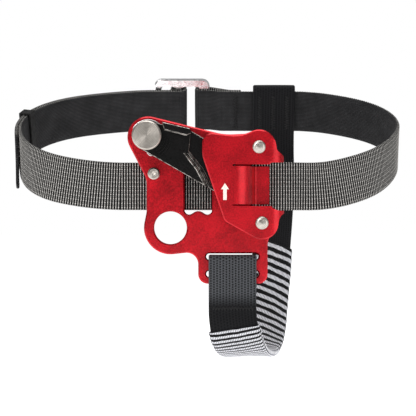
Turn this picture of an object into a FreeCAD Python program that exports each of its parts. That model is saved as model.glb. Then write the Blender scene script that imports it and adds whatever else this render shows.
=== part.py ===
"""A right-foot rope ascender: a toothed cam clamp on a webbing foot and ankle harness.

Frame of the part: X to the right, Y away from the side that faces forward, Z up, all in
millimetres.  The origin is the centre of the attachment hole, halfway through the frame plate.
The clamp stands in the XZ plane.  The ankle loop leaves it to both sides and rises towards the
back; the foot loop hangs below it and climbs to the back of the ankle loop.
"""

import FreeCAD, Part
import math
import os

from FreeCAD import Placement, Rotation, Vector

DIMENSIONS = [
    # frame plate, a flat 4 mm plate centred on Y = 0
    ("plate_thick", 4.0, "frame plate thickness"),
    ("plate_edge_break", 0.7, "bevel along every edge of the frame plate"),
    ("hole_dia", 17.0, "attachment hole"),
    ("hole_land", 5.3, "metal left around the attachment hole"),
    ("pivot_x", -11.7, "cam pivot"),
    ("pivot_z", 47.2, "cam pivot"),
    ("pivot_lobe", 10.7, "plate radius around the pivot"),
    ("bar_left", -12.4, "outer side of the plate's left bar"),
    ("window_left", 7.3, "window for the cam and the strap"),
    ("window_right", 21.6, "right side of the window"),
    ("window_low", 6.9, "bottom of the window"),
    ("window_high", 41.0, "top of the window, under the cam"),
    ("window_round", 2.4, "corner radius of the window"),
    ("tab_left", 14.4, "lower tab, left side"),
    ("tab_right", 50.5, "lower tab, right side"),
    ("tab_low", -29.1, "lower tab, bottom edge"),
    ("tab_round", 5.0, "lower tab, corner radius"),
    ("waist_right", 51.5, "outer side of the plate's right bar"),
    # cover plate, in front of the rope
    ("rope_gap", 15.0, "clear depth between the frame plate and the cover plate"),
    ("cover_thick", 3.0, "cover plate thickness"),
    ("cover_edge_break", 0.6, "bevel along the cover plate's front edges"),
    ("upper_rivet_x", 45.4, "upper cover rivet"),
    ("upper_rivet_z", 41.3, "upper cover rivet"),
    ("lower_rivet_x", 46.9, "lower cover rivet"),
    ("lower_rivet_z", 2.7, "lower cover rivet"),
    ("upper_lobe", 8.8, "cover radius around the upper rivet"),
    ("lower_lobe", 8.4, "cover radius around the lower rivet"),
    ("lobe_setback", 0.9, "how much smaller the frame plate's lobes are"),
    ("rivet_dia", 4.0, "rivet shank"),
    ("rivet_head", 6.8, "rivet head diameter"),
    ("rivet_dome", 1.5, "rivet head height"),
    ("rivet_rim", 0.3, "straight rim under each rivet's dome"),
    ("spacer_dia", 7.0, "tubular spacer on each rivet"),
    ("wall_bend", 11.5, "outside radius of the rope wall's bend"),
    ("wall_bend_x", 32.0, "where the rope wall starts to bend back"),
    ("wall_end_gap", 0.6, "between the wall's flat end and the ankle strap"),
    ("wall_low", 12.2, "bottom edge of the rope wall"),
    ("wall_high", 31.6, "top edge of the rope wall"),
    ("lance_slit", 0.9, "slit that frees the rope wall from the cover"),
    ("notch_x", 51.1, "strap notch in the cover's right side"),
    ("notch_low", 9.0, "bottom of the strap notch"),
    ("notch_high", 33.4, "top of the strap notch"),
    ("ear_bend_x", 50.5, "where the two strap ears start to bend back"),
    ("ear_bend", 9.0, "outside radius of the ears' bend"),
    ("ear_angle", 60.0, "how far round the ears are bent"),
    # pivot, stop and cam
    ("axle_dia", 8.0, "cam axle"),
    ("axle_head", 15.0, "axle head diameter"),
    ("axle_head_thick", 4.2, "axle head thickness"),
    ("axle_peen", 10.8, "diameter of the axle's peened tail"),
    ("axle_peen_high", 1.3, "height of the peened tail"),
    ("tenon_step", 0.5, "how much smaller in radius the axle and the stop pin are inside the plate"),
    ("head_edge_break", 0.7, "bevel round the axle head and the stop pin"),
    ("washer_thick", 0.9, "washer on each side of the cam"),
    ("washer_dia", 13.6, "washer diameter"),
    ("side_play", 0.3, "between the cam and each washer"),
    ("running_fit", 0.05, "radial clearance of the bush on the axle"),
    ("bush_wall", 1.5, "wall of the cam bush"),
    ("cam_hub", 7.3, "cam hub radius, hidden behind the axle head"),
    ("cam_head_inset", 1.8, "how much thinner the toothed head is, front and back"),
    ("tooth_tip_radius", 27.0, "curve through the tooth tips"),
    ("tooth_arm", 36.0, "from the pivot to the centre of that curve"),
    ("tooth_arm_drop", 52.0, "how far that centre lies below the level of the pivot, degrees"),
    ("tooth_depth", 1.3, "tooth height"),
    ("tooth_step", 4.6, "degrees from one tooth to the next"),
    ("thumb_raise", 4.2, "how far the thumb ledge stands out of the cam"),
    ("groove_wide", 0.8, "each of the two grooves along the tooth rows"),
    ("groove_apart", 2.8, "between the two grooves"),
    ("groove_extra", 0.6, "how far the grooves go below the tooth roots"),
    ("ridge_raise", 0.6, "height of the cam's grip ridges and ribs"),
    ("ridge_wide", 0.8, "width of each grip ridge"),
    ("spring_wire", 1.0, "torsion spring wire"),
    ("spring_clear", 1.2, "how far the spring's turn lies outside the axle head"),
    ("spring_hook", 4.8, "diameter of the spring leg's hook"),
    ("stop_x", -8.3, "cam stop pin"),
    ("stop_z", 28.0, "cam stop pin"),
    ("stop_dia", 6.2, "cam stop pin diameter"),
    ("stop_dimple", 2.2, "dimple in the end of the stop pin"),
    ("stop_reach", 12.0, "how far the stop pin stands out of the plate"),
    # webbing
    ("web_wide", 25.0, "webbing width"),
    ("web_thick", 2.0, "webbing thickness"),
    ("web_gap", 0.3, "between two layers of webbing"),
    ("web_play", 0.45, "between webbing and the metal it lies on"),
    ("strap_slot_x", 42.0, "hidden slot that the ankle strap passes, left side"),
    ("strap_slot_wide", 3.6, "width of that slot"),
    ("strap_slot_play", 0.8, "above and below the strap in that slot"),
    ("strap_front_z", 21.6, "height of the ankle strap where it crosses the plate"),
    ("foot_slot_wide", 27.2, "the two foot strap slots"),
    ("foot_slot_high", 3.3, "height of each foot strap slot"),
    ("foot_slot_centre", 32.2, "centre of the foot strap slots"),
    ("upper_slot_z", -15.0, "centre height of the upper foot strap slot"),
    ("lower_slot_z", -24.0, "centre height of the lower foot strap slot"),
    ("back_y", 109.5, "ankle strap at the back"),
    ("back_rise", 0.438, "rise of the ankle loop per unit of depth"),
    ("sleeve_wide", 27.0, "abrasion sleeve width"),
    ("sleeve_wall", 0.9, "abrasion sleeve wall"),
    # buckle
    ("buckle_long", 32.7, "buckle, along the strap"),
    ("buckle_high", 37.0, "buckle, across the strap"),
    ("buckle_thick", 3.0, "buckle plate thickness"),
    ("buckle_left", -12.3, "left end of the buckle"),
    ("buckle_bar", 4.0, "left bar of the buckle"),
    ("centre_bar_x", -0.5, "left side of the centre bar"),
    ("centre_bar", 5.0, "centre bar of the buckle"),
    ("anchor_bar", 6.3, "right bar of the buckle, which the sewn end holds"),
    ("buckle_slot_high", 27.0, "height of the buckle's slots"),
    ("buckle_corner", 4.5, "outer corner radius of the buckle"),
    ("slot_corner", 1.2, "corner radius of the buckle's slots"),
    ("keeper_long", 6.0, "keeper, along the strap"),
    ("keeper_wall", 0.9, "keeper wall"),
    ("keeper_play", 0.5, "between the keeper and the webbing inside it"),
    ("tack_proud", 0.35, "how far the sewn bars stand out of the webbing"),
]

doc = FreeCAD.newDocument("foot_ascender")
sheet = doc.addObject("Spreadsheet::Sheet", "Dims")
for row, (alias, value, meaning) in enumerate(DIMENSIONS, start=1):
    sheet.set(f"A{row}", alias)
    sheet.set(f"B{row}", str(value))
    sheet.set(f"C{row}", meaning)
    sheet.setAlias(f"B{row}", alias)
doc.recompute()


def value_of(alias):
    """A driving dimension, read back from the sheet."""
    return float(sheet.get(alias))


# Planes that everything else is placed from.
plate_front = -value_of("plate_thick") / 2
plate_back = value_of("plate_thick") / 2
cover_back = plate_front - value_of("rope_gap")
cover_front = cover_back - value_of("cover_thick")
pivot = Vector(value_of("pivot_x"), 0, value_of("pivot_z"))
web_wide = value_of("web_wide")
web_thick = value_of("web_thick")
web_pitch = web_thick + value_of("web_gap")
cam_back = plate_front - value_of("washer_thick") - value_of("side_play")
cam_front = cover_back + 1.2
TURN = 180 / math.pi


# ---------------------------------------------------------------- drawing helpers


def at_angle(radius, degrees):
    """A point on a circle about the origin of a flat drawing."""
    return radius * math.cos(degrees / TURN), radius * math.sin(degrees / TURN)


def belt(circles, inset=0.0):
    """Edges of the closed outline that runs round the circles, like a belt, anticlockwise.

    Each circle is (x, y, radius).  A positive radius is a rounded outer corner, a negative
    radius an inner one, and straight runs join them along their common tangents.  An inset
    moves the whole outline inwards.
    """
    circles = [(x, y, radius - inset) for x, y, radius in circles]
    count = len(circles)
    headings = []
    for i, (x, y, radius) in enumerate(circles):
        nx, ny, next_radius = circles[(i + 1) % count]
        span = math.hypot(nx - x, ny - y)
        if abs(next_radius - radius) > span:
            raise ValueError(f"circles {i} and {i + 1} of an outline have no common tangent")
        lean = math.asin((next_radius - radius) / span)
        headings.append(math.atan2(ny - y, nx - x) - lean)

    def contact(circle, heading):
        x, y, radius = circle
        return Vector(x + radius * math.sin(heading), y - radius * math.cos(heading), 0)

    edges = []
    for i, circle in enumerate(circles):
        arrive, leave = headings[i - 1], headings[i]
        start, end = contact(circle, arrive), contact(circle, leave)
        sweep = (leave - arrive + math.pi) % (2 * math.pi) - math.pi
        if circle[2] > 0 and sweep < 0:
            sweep += 2 * math.pi
        if circle[2] < 0 and sweep > 0:
            sweep -= 2 * math.pi
        if start.distanceToPoint(end) > 1e-4:
            middle = contact(circle, arrive + sweep / 2)
            edges.append(Part.Arc(start, middle, end))
        onward = contact(circles[(i + 1) % count], leave)
        if end.distanceToPoint(onward) > 1e-4:
            edges.append(Part.LineSegment(end, onward))
    return edges


def slot_outline(centre_x, centre_y, wide, high):
    """A straight slot with round ends, long way along x or y."""
    radius = min(wide, high) / 2
    dx, dy = wide / 2 - radius, high / 2 - radius
    if dx > dy:
        return belt([(centre_x - dx, centre_y, radius), (centre_x + dx, centre_y, radius)])
    return belt([(centre_x, centre_y - dy, radius), (centre_x, centre_y + dy, radius)])


def rounded_box(low_x, low_y, high_x, high_y, radius):
    return belt(
        [
            (low_x + radius, low_y + radius, radius),
            (high_x - radius, low_y + radius, radius),
            (high_x - radius, high_y - radius, radius),
            (low_x + radius, high_y - radius, radius),
        ]
    )


def stand_up(edges, depth):
    """A flat drawing stood up in the XZ plane at the given Y, as one wire."""
    turned = Placement(Vector(0, depth, 0), Rotation(Vector(1, 0, 0), 90))
    wire = Part.Wire(Part.__sortEdges__([edge.toShape() for edge in edges]))
    wire.Placement = turned
    return wire


def plate_of(edges, front, back):
    """A solid between two depths with the drawing as its outline in XZ."""
    return Part.Face(stand_up(edges, front)).extrude(Vector(0, back - front, 0))


# ---------------------------------------------------------------- document helpers

subparts = []


def new_body(label):
    body = doc.addObject("PartDesign::Body", label)
    body.Label = label
    subparts.append(body)
    return body


def origin_plane(body, role):
    return next(item for item in body.Origin.OriginFeatures if item.Role == role)


def sketch_on(body, role, edges, offset=0.0):
    """A sketch on one of the body's own origin planes, moved along the plane's normal."""
    sketch = body.newObject("Sketcher::SketchObject", body.Label + "_sketch")
    sketch.AttachmentSupport = (origin_plane(body, role), [""])
    sketch.MapMode = "FlatFace"
    sketch.AttachmentOffset = Placement(Vector(0, 0, offset), Rotation())
    sketch.addGeometry(edges, False)
    doc.recompute()
    return sketch


def pad(body, sketch, length):
    feature = body.newObject("PartDesign::Pad", body.Label + "_pad")
    feature.Profile = sketch
    feature.setExpression("Length", length)
    doc.recompute()
    return feature


def pocket(body, sketch):
    """Cuts the drawing right through the body, both ways, and makes sure that it cut."""
    before = body.Shape.Volume
    feature = body.newObject("PartDesign::Pocket", body.Label + "_pocket")
    feature.Profile = sketch
    feature.Type = "ThroughAll"
    feature.Midplane = True
    doc.recompute()
    if body.Shape.Volume > before - 0.01:
        raise ValueError(f"{feature.Label} cut nothing")
    return feature


def bevel(body, name_edges, amount):
    """A chamfer on the edges that the test picks from the body's shape."""
    support = body.Tip
    names = [f"Edge{i}" for i, edge in enumerate(support.Shape.Edges, start=1) if name_edges(edge)]
    feature = body.newObject("PartDesign::Chamfer", body.Label + "_bevel")
    feature.Base = (support, names)
    feature.setExpression("Size", amount)
    doc.recompute()
    return feature


def turned(label, profile, place):
    """A part turned about the Y axis through a place of the sheet.  The profile is (radius, y) corners."""
    body = new_body(label)
    points = [Vector(radius, y, 0) for radius, y in profile]
    edges = [Part.LineSegment(a, b) for a, b in zip(points, points[1:] + points[:1])]
    sketch = sketch_on(body, "XY_Plane", edges)
    feature = body.newObject("PartDesign::Revolution", label + "_turned")
    feature.Profile = sketch
    feature.ReferenceAxis = (sketch, ["V_Axis"])
    feature.Angle = 360
    body.setExpression("Placement.Base.x", f"Dims.{place}_x")
    body.setExpression("Placement.Base.z", f"Dims.{place}_z")
    doc.recompute()
    return body


def tube_profile(inner, outer, front, back):
    return [(inner, front), (outer, front), (outer, back), (inner, back)]


def feature_of(label, shape, placement=None):
    """A sub-part whose shape is set directly."""
    item = doc.addObject("Part::Feature", label)
    item.Label = label
    item.Shape = shape
    item.Placement = placement or Placement()
    subparts.append(item)
    return item


def flat_edge_at(depths):
    """Picks the edges that lie wholly in one of the given Y planes."""

    def test(edge):
        box = edge.BoundBox
        return any(abs(box.YMin - y) < 1e-3 and abs(box.YMax - y) < 1e-3 for y in depths)

    return test


# ---------------------------------------------------------------- metal outlines


def frame_outline():
    """The frame plate from the front: pivot lobe, bar, hole, strap tab and two rivet lobes."""
    land = value_of("hole_dia") / 2 + value_of("hole_land")
    bar = value_of("bar_left")
    tab_round = value_of("tab_round")
    tab_low = value_of("tab_low") + tab_round
    tab_left, tab_right = value_of("tab_left"), value_of("tab_right")
    lower = value_of("lower_lobe") - value_of("lobe_setback")
    upper = value_of("upper_lobe") - value_of("lobe_setback")
    waist = value_of("waist_right") + 8
    return belt(
        [
            (pivot.x, pivot.z, value_of("pivot_lobe")),
            (bar - 12, pivot.z - 24.8, -12),
            (bar - 12, 9.5, -12),
            (0, 0, land),
            (tab_left - 6, -19.0, -6),
            (tab_left + tab_round, tab_low, tab_round),
            (tab_right - tab_round, tab_low, tab_round),
            (tab_right + 9, -9.0, -9),
            (value_of("lower_rivet_x"), value_of("lower_rivet_z"), lower),
            (waist, value_of("lower_rivet_z") + 11.3, -8),
            (waist, value_of("upper_rivet_z") - 12.2, -8),
            (value_of("upper_rivet_x"), value_of("upper_rivet_z"), upper),
            (31.0, value_of("upper_rivet_z") + upper - 0.6 + 30, -30),
        ]
    )


def window_outline():
    """The window, with a low hump between its two bottom corners."""
    left, right = value_of("window_left"), value_of("window_right")
    low, high = value_of("window_low"), value_of("window_high")
    corner = value_of("window_round")
    return belt(
        [
            (left + corner, low + corner, corner),
            ((left + right) / 2, low - 2.2, -4),
            (right - corner, low + corner, corner),
            (right - corner, high - corner, corner),
            (left + corner, high - corner, corner),
        ]
    )


def cover_outline(inset=0.0):
    """The cover plate from the front, with its strap notch and the two pointed ears."""
    ux, uz, upper = value_of("upper_rivet_x"), value_of("upper_rivet_z"), value_of("upper_lobe")
    lx, lz, lower = value_of("lower_rivet_x"), value_of("lower_rivet_z"), value_of("lower_lobe")
    notch = value_of("notch_x")
    notch_low, notch_high = value_of("notch_low"), value_of("notch_high")
    return belt(
        [
            (ux, uz, upper),
            (33.0, uz + upper - 2.9 + 18, -18),
            (21.6, 43.3, 5.0),
            (31.5, 39.5, 15.0),
            (32.0, lz + 4.4, 5.0),
            (lx, lz, lower),
            (lx + lower + 5.2, lz + 0.3, -5.0),
            (58.0, notch_low - 0.8, 0.7),
            (notch + 5.0, notch_low + 5.0, -5.0),
            (notch + 0.8, notch_high - 0.8, -0.8),
            (57.6, notch_high + 0.8, 0.7),
            (56.4, notch_high + 2.6, 1.7),
            (ux + upper + 2.4, uz - 0.4, -2.2),
        ],
        inset,
    )


def cam_outline():
    """The whole cam from the front, up to the curve through the tooth tips."""
    drop = value_of("tooth_arm_drop") / TURN
    face_x = pivot.x + value_of("tooth_arm") * math.cos(drop)
    face_z = pivot.z - value_of("tooth_arm") * math.sin(drop)
    tip = value_of("tooth_tip_radius")
    nose_round, crown_round = 1.6, 3.0
    touch = 0.02
    nose_x, nose_z = at_angle(tip - nose_round + touch, -12)
    crown_x, crown_z = at_angle(tip - crown_round + touch, 52)
    return belt(
        [
            (pivot.x, pivot.z, value_of("cam_hub")),
            (face_x + nose_x, face_z + nose_z, nose_round),
            (face_x, face_z, tip),
            (face_x + crown_x, face_z + crown_z, crown_round),
            (pivot.x + 21.9, pivot.z + 0.8, 1.8),
        ]
    ), Vector(face_x, 0, face_z)


# ---------------------------------------------------------------- frame plate


def build_frame_plate():
    body = new_body("frame_plate")
    base = sketch_on(body, "XZ_Plane", frame_outline(), -plate_back)
    pad(body, base, "Dims.plate_thick")
    strap_high = web_wide + 2 * value_of("strap_slot_play")
    strap_slot = slot_outline(
        value_of("strap_slot_x") + value_of("strap_slot_wide") / 2,
        value_of("strap_front_z"),
        value_of("strap_slot_wide"),
        strap_high,
    )
    cuts = [window_outline(), strap_slot]
    for alias in ("upper_slot_z", "lower_slot_z"):
        middle = value_of("foot_slot_centre")
        wide, high = value_of("foot_slot_wide"), value_of("foot_slot_high")
        cuts.append(slot_outline(middle, value_of(alias), wide, high))
    holes = [
        (0, 0, value_of("hole_dia")),
        (pivot.x, pivot.z, value_of("axle_dia") - 1),
        (value_of("stop_x"), value_of("stop_z"), value_of("stop_dia") - 1),
        (value_of("upper_rivet_x"), value_of("upper_rivet_z"), value_of("rivet_dia")),
        (value_of("lower_rivet_x"), value_of("lower_rivet_z"), value_of("rivet_dia")),
    ]
    for x, z, diameter in holes:
        cuts.append([Part.Circle(Vector(x, z, 0), Vector(0, 0, 1), diameter / 2)])
    for edges in cuts:
        pocket(body, sketch_on(body, "XZ_Plane", edges))
    hidden = [(x, z, diameter) for x, z, diameter in holes[1:]]

    def worth_a_bevel(edge):
        box = edge.BoundBox
        middle = box.Center
        for x, z, diameter in hidden:
            if math.hypot(middle.x - x, middle.z - z) < 0.1 and box.XLength < diameter + 0.1:
                return False
        return flat_edge_at([plate_front, plate_back])(edge)

    bevel(body, worth_a_bevel, "Dims.plate_edge_break")
    return body


# ---------------------------------------------------------------- cover plate


def wall_section():
    """The rope wall seen from above: it leaves the cover, bends back and ends flat."""
    outside = value_of("wall_bend")
    thick = value_of("cover_thick")
    inside = outside - thick
    start = value_of("wall_bend_x")
    centre_y = cover_front + outside
    strap_front = plate_front - value_of("web_play") - web_thick
    end_back = strap_front - value_of("wall_end_gap")
    end_front = end_back - thick
    notch = value_of("notch_x")
    diagonal = outside * math.sqrt(0.5)
    inner_diagonal = inside * math.sqrt(0.5)
    outer_arc = Part.Arc(
        Vector(start, cover_front, 0),
        Vector(start + diagonal, centre_y - diagonal, 0),
        Vector(start + outside, centre_y, 0),
    )
    inner_arc = Part.Arc(
        Vector(start, cover_back, 0),
        Vector(start + inner_diagonal, centre_y - inner_diagonal, 0),
        Vector(start + inside, centre_y, 0),
    )
    corners = [
        Vector(start + outside, centre_y, 0),
        Vector(start + outside, end_front, 0),
        Vector(notch, end_front, 0),
        Vector(notch, end_back, 0),
        Vector(start + inside, end_back, 0),
        Vector(start + inside, centre_y, 0),
    ]
    edges = [outer_arc]
    edges += [Part.LineSegment(a, b) for a, b in zip(corners, corners[1:]) if a != b]
    edges += [inner_arc, Part.LineSegment(inner_arc.StartPoint, outer_arc.StartPoint)]
    wire = Part.Wire(Part.__sortEdges__([edge.toShape() for edge in edges]))
    low, high = value_of("wall_low"), value_of("wall_high")
    wire.translate(Vector(0, 0, low))
    wall = Part.Face(wire).extrude(Vector(0, 0, high - low))
    bend_edges = [
        edge
        for edge in wall.Edges
        if abs(edge.BoundBox.XMin - start - outside) < 1e-3
        and edge.BoundBox.XLength < 1e-3
        and edge.BoundBox.YLength < 1e-3
        and abs(edge.BoundBox.YMin - end_front) < 1e-3
    ]
    return wall.makeFillet(1.2, bend_edges)


def ear_sheet():
    """The cover's sheet seen from above, flat and then bent back where the ears are."""
    thick = value_of("cover_thick")
    outside = value_of("ear_bend")
    inside = outside - thick
    start = value_of("ear_bend_x")
    turn = value_of("ear_angle")
    centre = Vector(start, cover_front + outside, 0)

    def on_bend(radius, degrees):
        dx, dy = at_angle(radius, degrees - 90)
        return centre + Vector(dx, dy, 0)

    outer = Part.Arc(on_bend(outside, 0), on_bend(outside, turn / 2), on_bend(outside, turn))
    inner = Part.Arc(on_bend(inside, 0), on_bend(inside, turn / 2), on_bend(inside, turn))
    left = 10.0
    edges = [
        Part.LineSegment(Vector(left, cover_front, 0), on_bend(outside, 0)),
        outer,
        Part.LineSegment(on_bend(outside, turn), on_bend(inside, turn)),
        inner,
        Part.LineSegment(on_bend(inside, 0), Vector(left, cover_back, 0)),
        Part.LineSegment(Vector(left, cover_back, 0), Vector(left, cover_front, 0)),
    ]
    wire = Part.Wire(Part.__sortEdges__([edge.toShape() for edge in edges]))
    wire.translate(Vector(0, 0, -20))
    return Part.Face(wire).extrude(Vector(0, 0, 90))


def build_cover_plate():
    edge_break = value_of("cover_edge_break")
    blank = plate_of(cover_outline(), cover_front + edge_break, cover_back + 12)
    rims = [
        stand_up(cover_outline(edge_break), cover_front),
        stand_up(cover_outline(), cover_front + edge_break),
    ]
    blank = blank.fuse(Part.makeLoft(rims, True, True))
    solid = ear_sheet().common(blank)
    slit = value_of("lance_slit")
    low, high = value_of("wall_low") - slit, value_of("wall_high") + slit
    start = value_of("wall_bend_x")
    opening = Part.makeBox(40, 40, high - low, Vector(start, cover_front - 10, low))
    solid = solid.cut(opening)
    for name in ("upper_rivet", "lower_rivet"):
        place = Vector(value_of(name + "_x"), cover_front - 10, value_of(name + "_z"))
        shank = value_of("rivet_dia") / 2
        solid = solid.cut(Part.makeCylinder(shank, 40, place, Vector(0, 1, 0)))
    solid = solid.fuse(wall_section()).removeSplitter()
    return feature_of("cover_plate", solid.Solids[0])


# ---------------------------------------------------------------- rivets, spacers, pins


def dome(radius, height, base, direction, steps=5):
    """Profile corners of a domed head, from its rim to the middle."""
    corners = []
    for i in range(1, steps + 1):
        lift = i * math.pi / 2 / steps
        corners.append((radius * math.cos(lift), base + direction * height * math.sin(lift)))
    return corners


# The riveted tail behind the plate is lower than the domed head in front.
BACK_DOME_SHARE = 0.6


def build_fasteners():
    shank = value_of("rivet_dia") / 2
    head = value_of("rivet_head") / 2
    rise = value_of("rivet_dome")
    rim = value_of("rivet_rim")
    outer = value_of("spacer_dia") / 2
    for name in ("upper_rivet", "lower_rivet"):
        front = dome(head, rise, cover_front - rim, -1)
        back = dome(head, rise * BACK_DOME_SHARE, plate_back + rim, 1)
        profile = [(shank, cover_front), (head, cover_front), (head, cover_front - rim)]
        profile += front + back[::-1]
        profile += [(head, plate_back + rim), (head, plate_back), (shank, plate_back)]
        turned(name, profile, name)
        spacer = tube_profile(shank, outer, cover_back, plate_front)
        turned(name.replace("rivet", "spacer"), spacer, name)


def build_axle():
    """The axle, its head in front and its peened tail behind, with the washers and the bush."""
    shank = value_of("axle_dia") / 2
    tenon = shank - value_of("tenon_step")
    head = value_of("axle_head") / 2
    washer_front = cam_front - value_of("side_play") - value_of("washer_thick")
    head_front = washer_front - value_of("axle_head_thick")
    break_size = value_of("head_edge_break")
    peen = value_of("axle_peen") / 2
    peen_high = value_of("axle_peen_high")
    profile = [
        (0, head_front),
        (head - break_size, head_front),
        (head, head_front + break_size),
        (head, washer_front - break_size / 2),
        (head - break_size / 2, washer_front),
        (shank, washer_front),
        (shank, plate_front),
        (tenon, plate_front),
        (tenon, plate_back),
        (peen, plate_back),
        (peen, plate_back + 0.3 * peen_high),
        (peen * 0.8, plate_back + 0.8 * peen_high),
        (0, plate_back + peen_high),
    ]
    turned("cam_axle", profile, "pivot")
    ring = value_of("washer_dia") / 2
    thick = value_of("washer_thick")
    turned("front_washer", tube_profile(shank, ring, washer_front, washer_front + thick), "pivot")
    turned("rear_washer", tube_profile(shank, ring, plate_front - thick, plate_front), "pivot")
    bore = shank + value_of("running_fit")
    bush = bore + value_of("bush_wall")
    turned("cam_bush", tube_profile(bore, bush, cam_front, cam_back), "pivot")


def build_stop_pin():
    radius = value_of("stop_dia") / 2
    tenon = radius - value_of("tenon_step")
    front = plate_front - value_of("stop_reach")
    rim = value_of("head_edge_break")
    dimple = value_of("stop_dimple") / 2
    profile = [
        (0, front + dimple / 3),
        (dimple, front),
        (radius - rim, front),
        (radius, front + rim),
        (radius, plate_front),
        (tenon, plate_front),
        (tenon, plate_back),
        (0, plate_back),
    ]
    turned("stop_pin", profile, "stop")


# ---------------------------------------------------------------- cam


FIRST_TOOTH, LAST_TOOTH = -14.0, 52.0

# Outlines of the cam's details, as (right, up) from the pivot.  The thick arm ends along a line
# that slants down to the right, and the thinner toothed head goes on past it.
ARM_OUTLINE = [(-28.3, 32.8), (-28.3, -67.2), (37.7, -34.2), (28.9, -17.2), (21.3, -7.7), (24.3, 32.8)]
LEDGE_OUTLINE = [(7.9, 6.7), (9.1, 3.0), (20.6, 0.1), (22.3, 1.0), (22.6, 2.4), (21.9, 3.4)]
RIB_OUTLINE = [(22.3, -9.0), (23.0, -8.6), (29.3, -17.0), (34.3, -26.6), (33.6, -26.9), (28.6, -17.4)]
RIB_SHIFTS = (-1.6, -3.4)
RIDGE_STEP, RIDGE_COUNT, RIDGE_FROM, RIDGE_TO = 1.5, 3, -62, -6


def disc(radius, front, back, centre):
    return Part.makeCylinder(radius, back - front, Vector(centre.x, front, centre.z), Vector(0, 1, 0))


def prism(corners, centre, front, back):
    """A straight block between two depths, its outline given as (right, up) from a centre."""
    points = [Vector(centre.x + x, front, centre.z + z) for x, z in corners]
    return Part.Face(Part.makePolygon(points + points[:1])).extrude(Vector(0, back - front, 0))


def tooth_row(centre):
    """The space in front of the saw teeth, to be cut from the cam's face."""
    tip = value_of("tooth_tip_radius")
    root = tip - value_of("tooth_depth")
    step = value_of("tooth_step")
    beyond = tip + value_of("cam_hub")
    corners = []
    turn = FIRST_TOOTH
    while turn < LAST_TOOTH:
        corners.append(at_angle(tip, turn))
        corners.append(at_angle(root, turn + 0.25 * step))
        turn += step
    corners += [at_angle(tip, turn), at_angle(beyond, turn), at_angle(beyond, FIRST_TOOTH)]
    return prism(corners, centre, cover_front, plate_back)


def ring_sector(inner, outer, start, end, front, back):
    """Part of a ring about the pivot, between two angles in degrees."""
    ring = disc(outer, front, back, pivot).cut(disc(inner, front, back, pivot))
    reach = 3 * outer
    rim = [at_angle(reach, start + (end - start) * i / 4) for i in range(5)]
    return ring.common(prism([(0, 0)] + rim, pivot, front, back))


def build_cam():
    outline, face_centre = cam_outline()
    inset = value_of("cam_head_inset")
    cam = plate_of(outline, cam_front + inset, cam_back - inset).cut(tooth_row(face_centre))
    tip = value_of("tooth_tip_radius")
    floor = tip - value_of("tooth_depth") - value_of("groove_extra")
    half = value_of("groove_wide") / 2
    middle = (cam_front + cam_back) / 2
    for side in (-1, 1):
        y = middle + side * value_of("groove_apart") / 2
        groove = disc(tip + 1, y - half, y + half, face_centre)
        cam = cam.cut(groove.cut(disc(floor, y - half, y + half, face_centre)))
    arm_space = prism(ARM_OUTLINE, pivot, cover_front, plate_back)
    cam = cam.fuse(plate_of(outline, cam_front, cam_back).common(arm_space))
    cam = cam.fuse(prism(LEDGE_OUTLINE, pivot, cam_front - value_of("thumb_raise"), cam_front + inset))
    raised = cam_front - value_of("ridge_raise")
    buried = cam_front + inset / 2
    ridge_wide = value_of("ridge_wide")
    for i in range(RIDGE_COUNT):
        inner = value_of("cam_hub") + 1.3 + i * RIDGE_STEP
        outer = inner + ridge_wide
        cam = cam.fuse(ring_sector(inner, outer, RIDGE_FROM, RIDGE_TO, raised, buried))
    within = plate_of(outline, cover_front, cam_back)
    for shift in RIB_SHIFTS:
        rib = prism([(x + shift, z) for x, z in RIB_OUTLINE], pivot, raised, buried)
        cam = cam.fuse(rib.common(within))
    bore = value_of("axle_dia") / 2 + value_of("running_fit") + value_of("bush_wall")
    cam = cam.cut(disc(bore, cover_front, plate_back, pivot))
    feature_of("cam", cam.removeSplitter().Solids[0])


# Directions, in degrees, of the spring's points about the hook's centre and about the pivot.
HOOK_TURNS = (200, 230, 260, 290)
COIL_TURNS = range(-50, 170, 20)


def build_cam_spring():
    """A torsion spring behind the cam: a turn round the axle and a hooked leg that shows below it."""
    wire = value_of("spring_wire")
    coil = value_of("axle_head") / 2 + value_of("spring_clear")
    hook = value_of("spring_hook") / 2
    y = plate_front - wire / 2 - 0.05
    centre = Vector(pivot.x + 2.1, y, pivot.z - 7.2)
    route = [at_angle(hook, turn) for turn in HOOK_TURNS]
    points = [Vector(centre.x + x, y, centre.z + z) for x, z in route]
    route = [at_angle(coil, turn) for turn in COIL_TURNS]
    points += [Vector(pivot.x + x, y, pivot.z + z) for x, z in route]
    curve = Part.BSplineCurve()
    curve.interpolate(points)
    section = Part.Wire(Part.makeCircle(wire / 2, points[0], curve.tangent(curve.FirstParameter)[0]))
    feature_of("cam_spring", Part.Wire(curve.toShape()).makePipeShell([section], True, True))


# ---------------------------------------------------------------- webbing helpers


def rounded_path(points, radii):
    """Straight runs and arcs of a centre-line, as (start, middle, end, centre of the arc)."""
    pieces = []
    previous = points[0]
    for i in range(1, len(points) - 1):
        corner, radius = points[i], radii[i - 1]
        before = (points[i - 1] - corner).normalize()
        after = (points[i + 1] - corner).normalize()
        half = before.getAngle(after) / 2
        back_off = radius / math.tan(half)
        start, end = corner + before * back_off, corner + after * back_off
        centre = corner + (before + after).normalize() * (radius / math.sin(half))
        middle = centre + (corner - centre).normalize() * radius
        pieces.append((previous, None, start, None))
        pieces.append((start, middle, end, centre))
        previous = end
    pieces.append((previous, None, points[-1], None))
    return [p for p in pieces if p[0].distanceToPoint(p[2]) > 1e-6]


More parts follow.
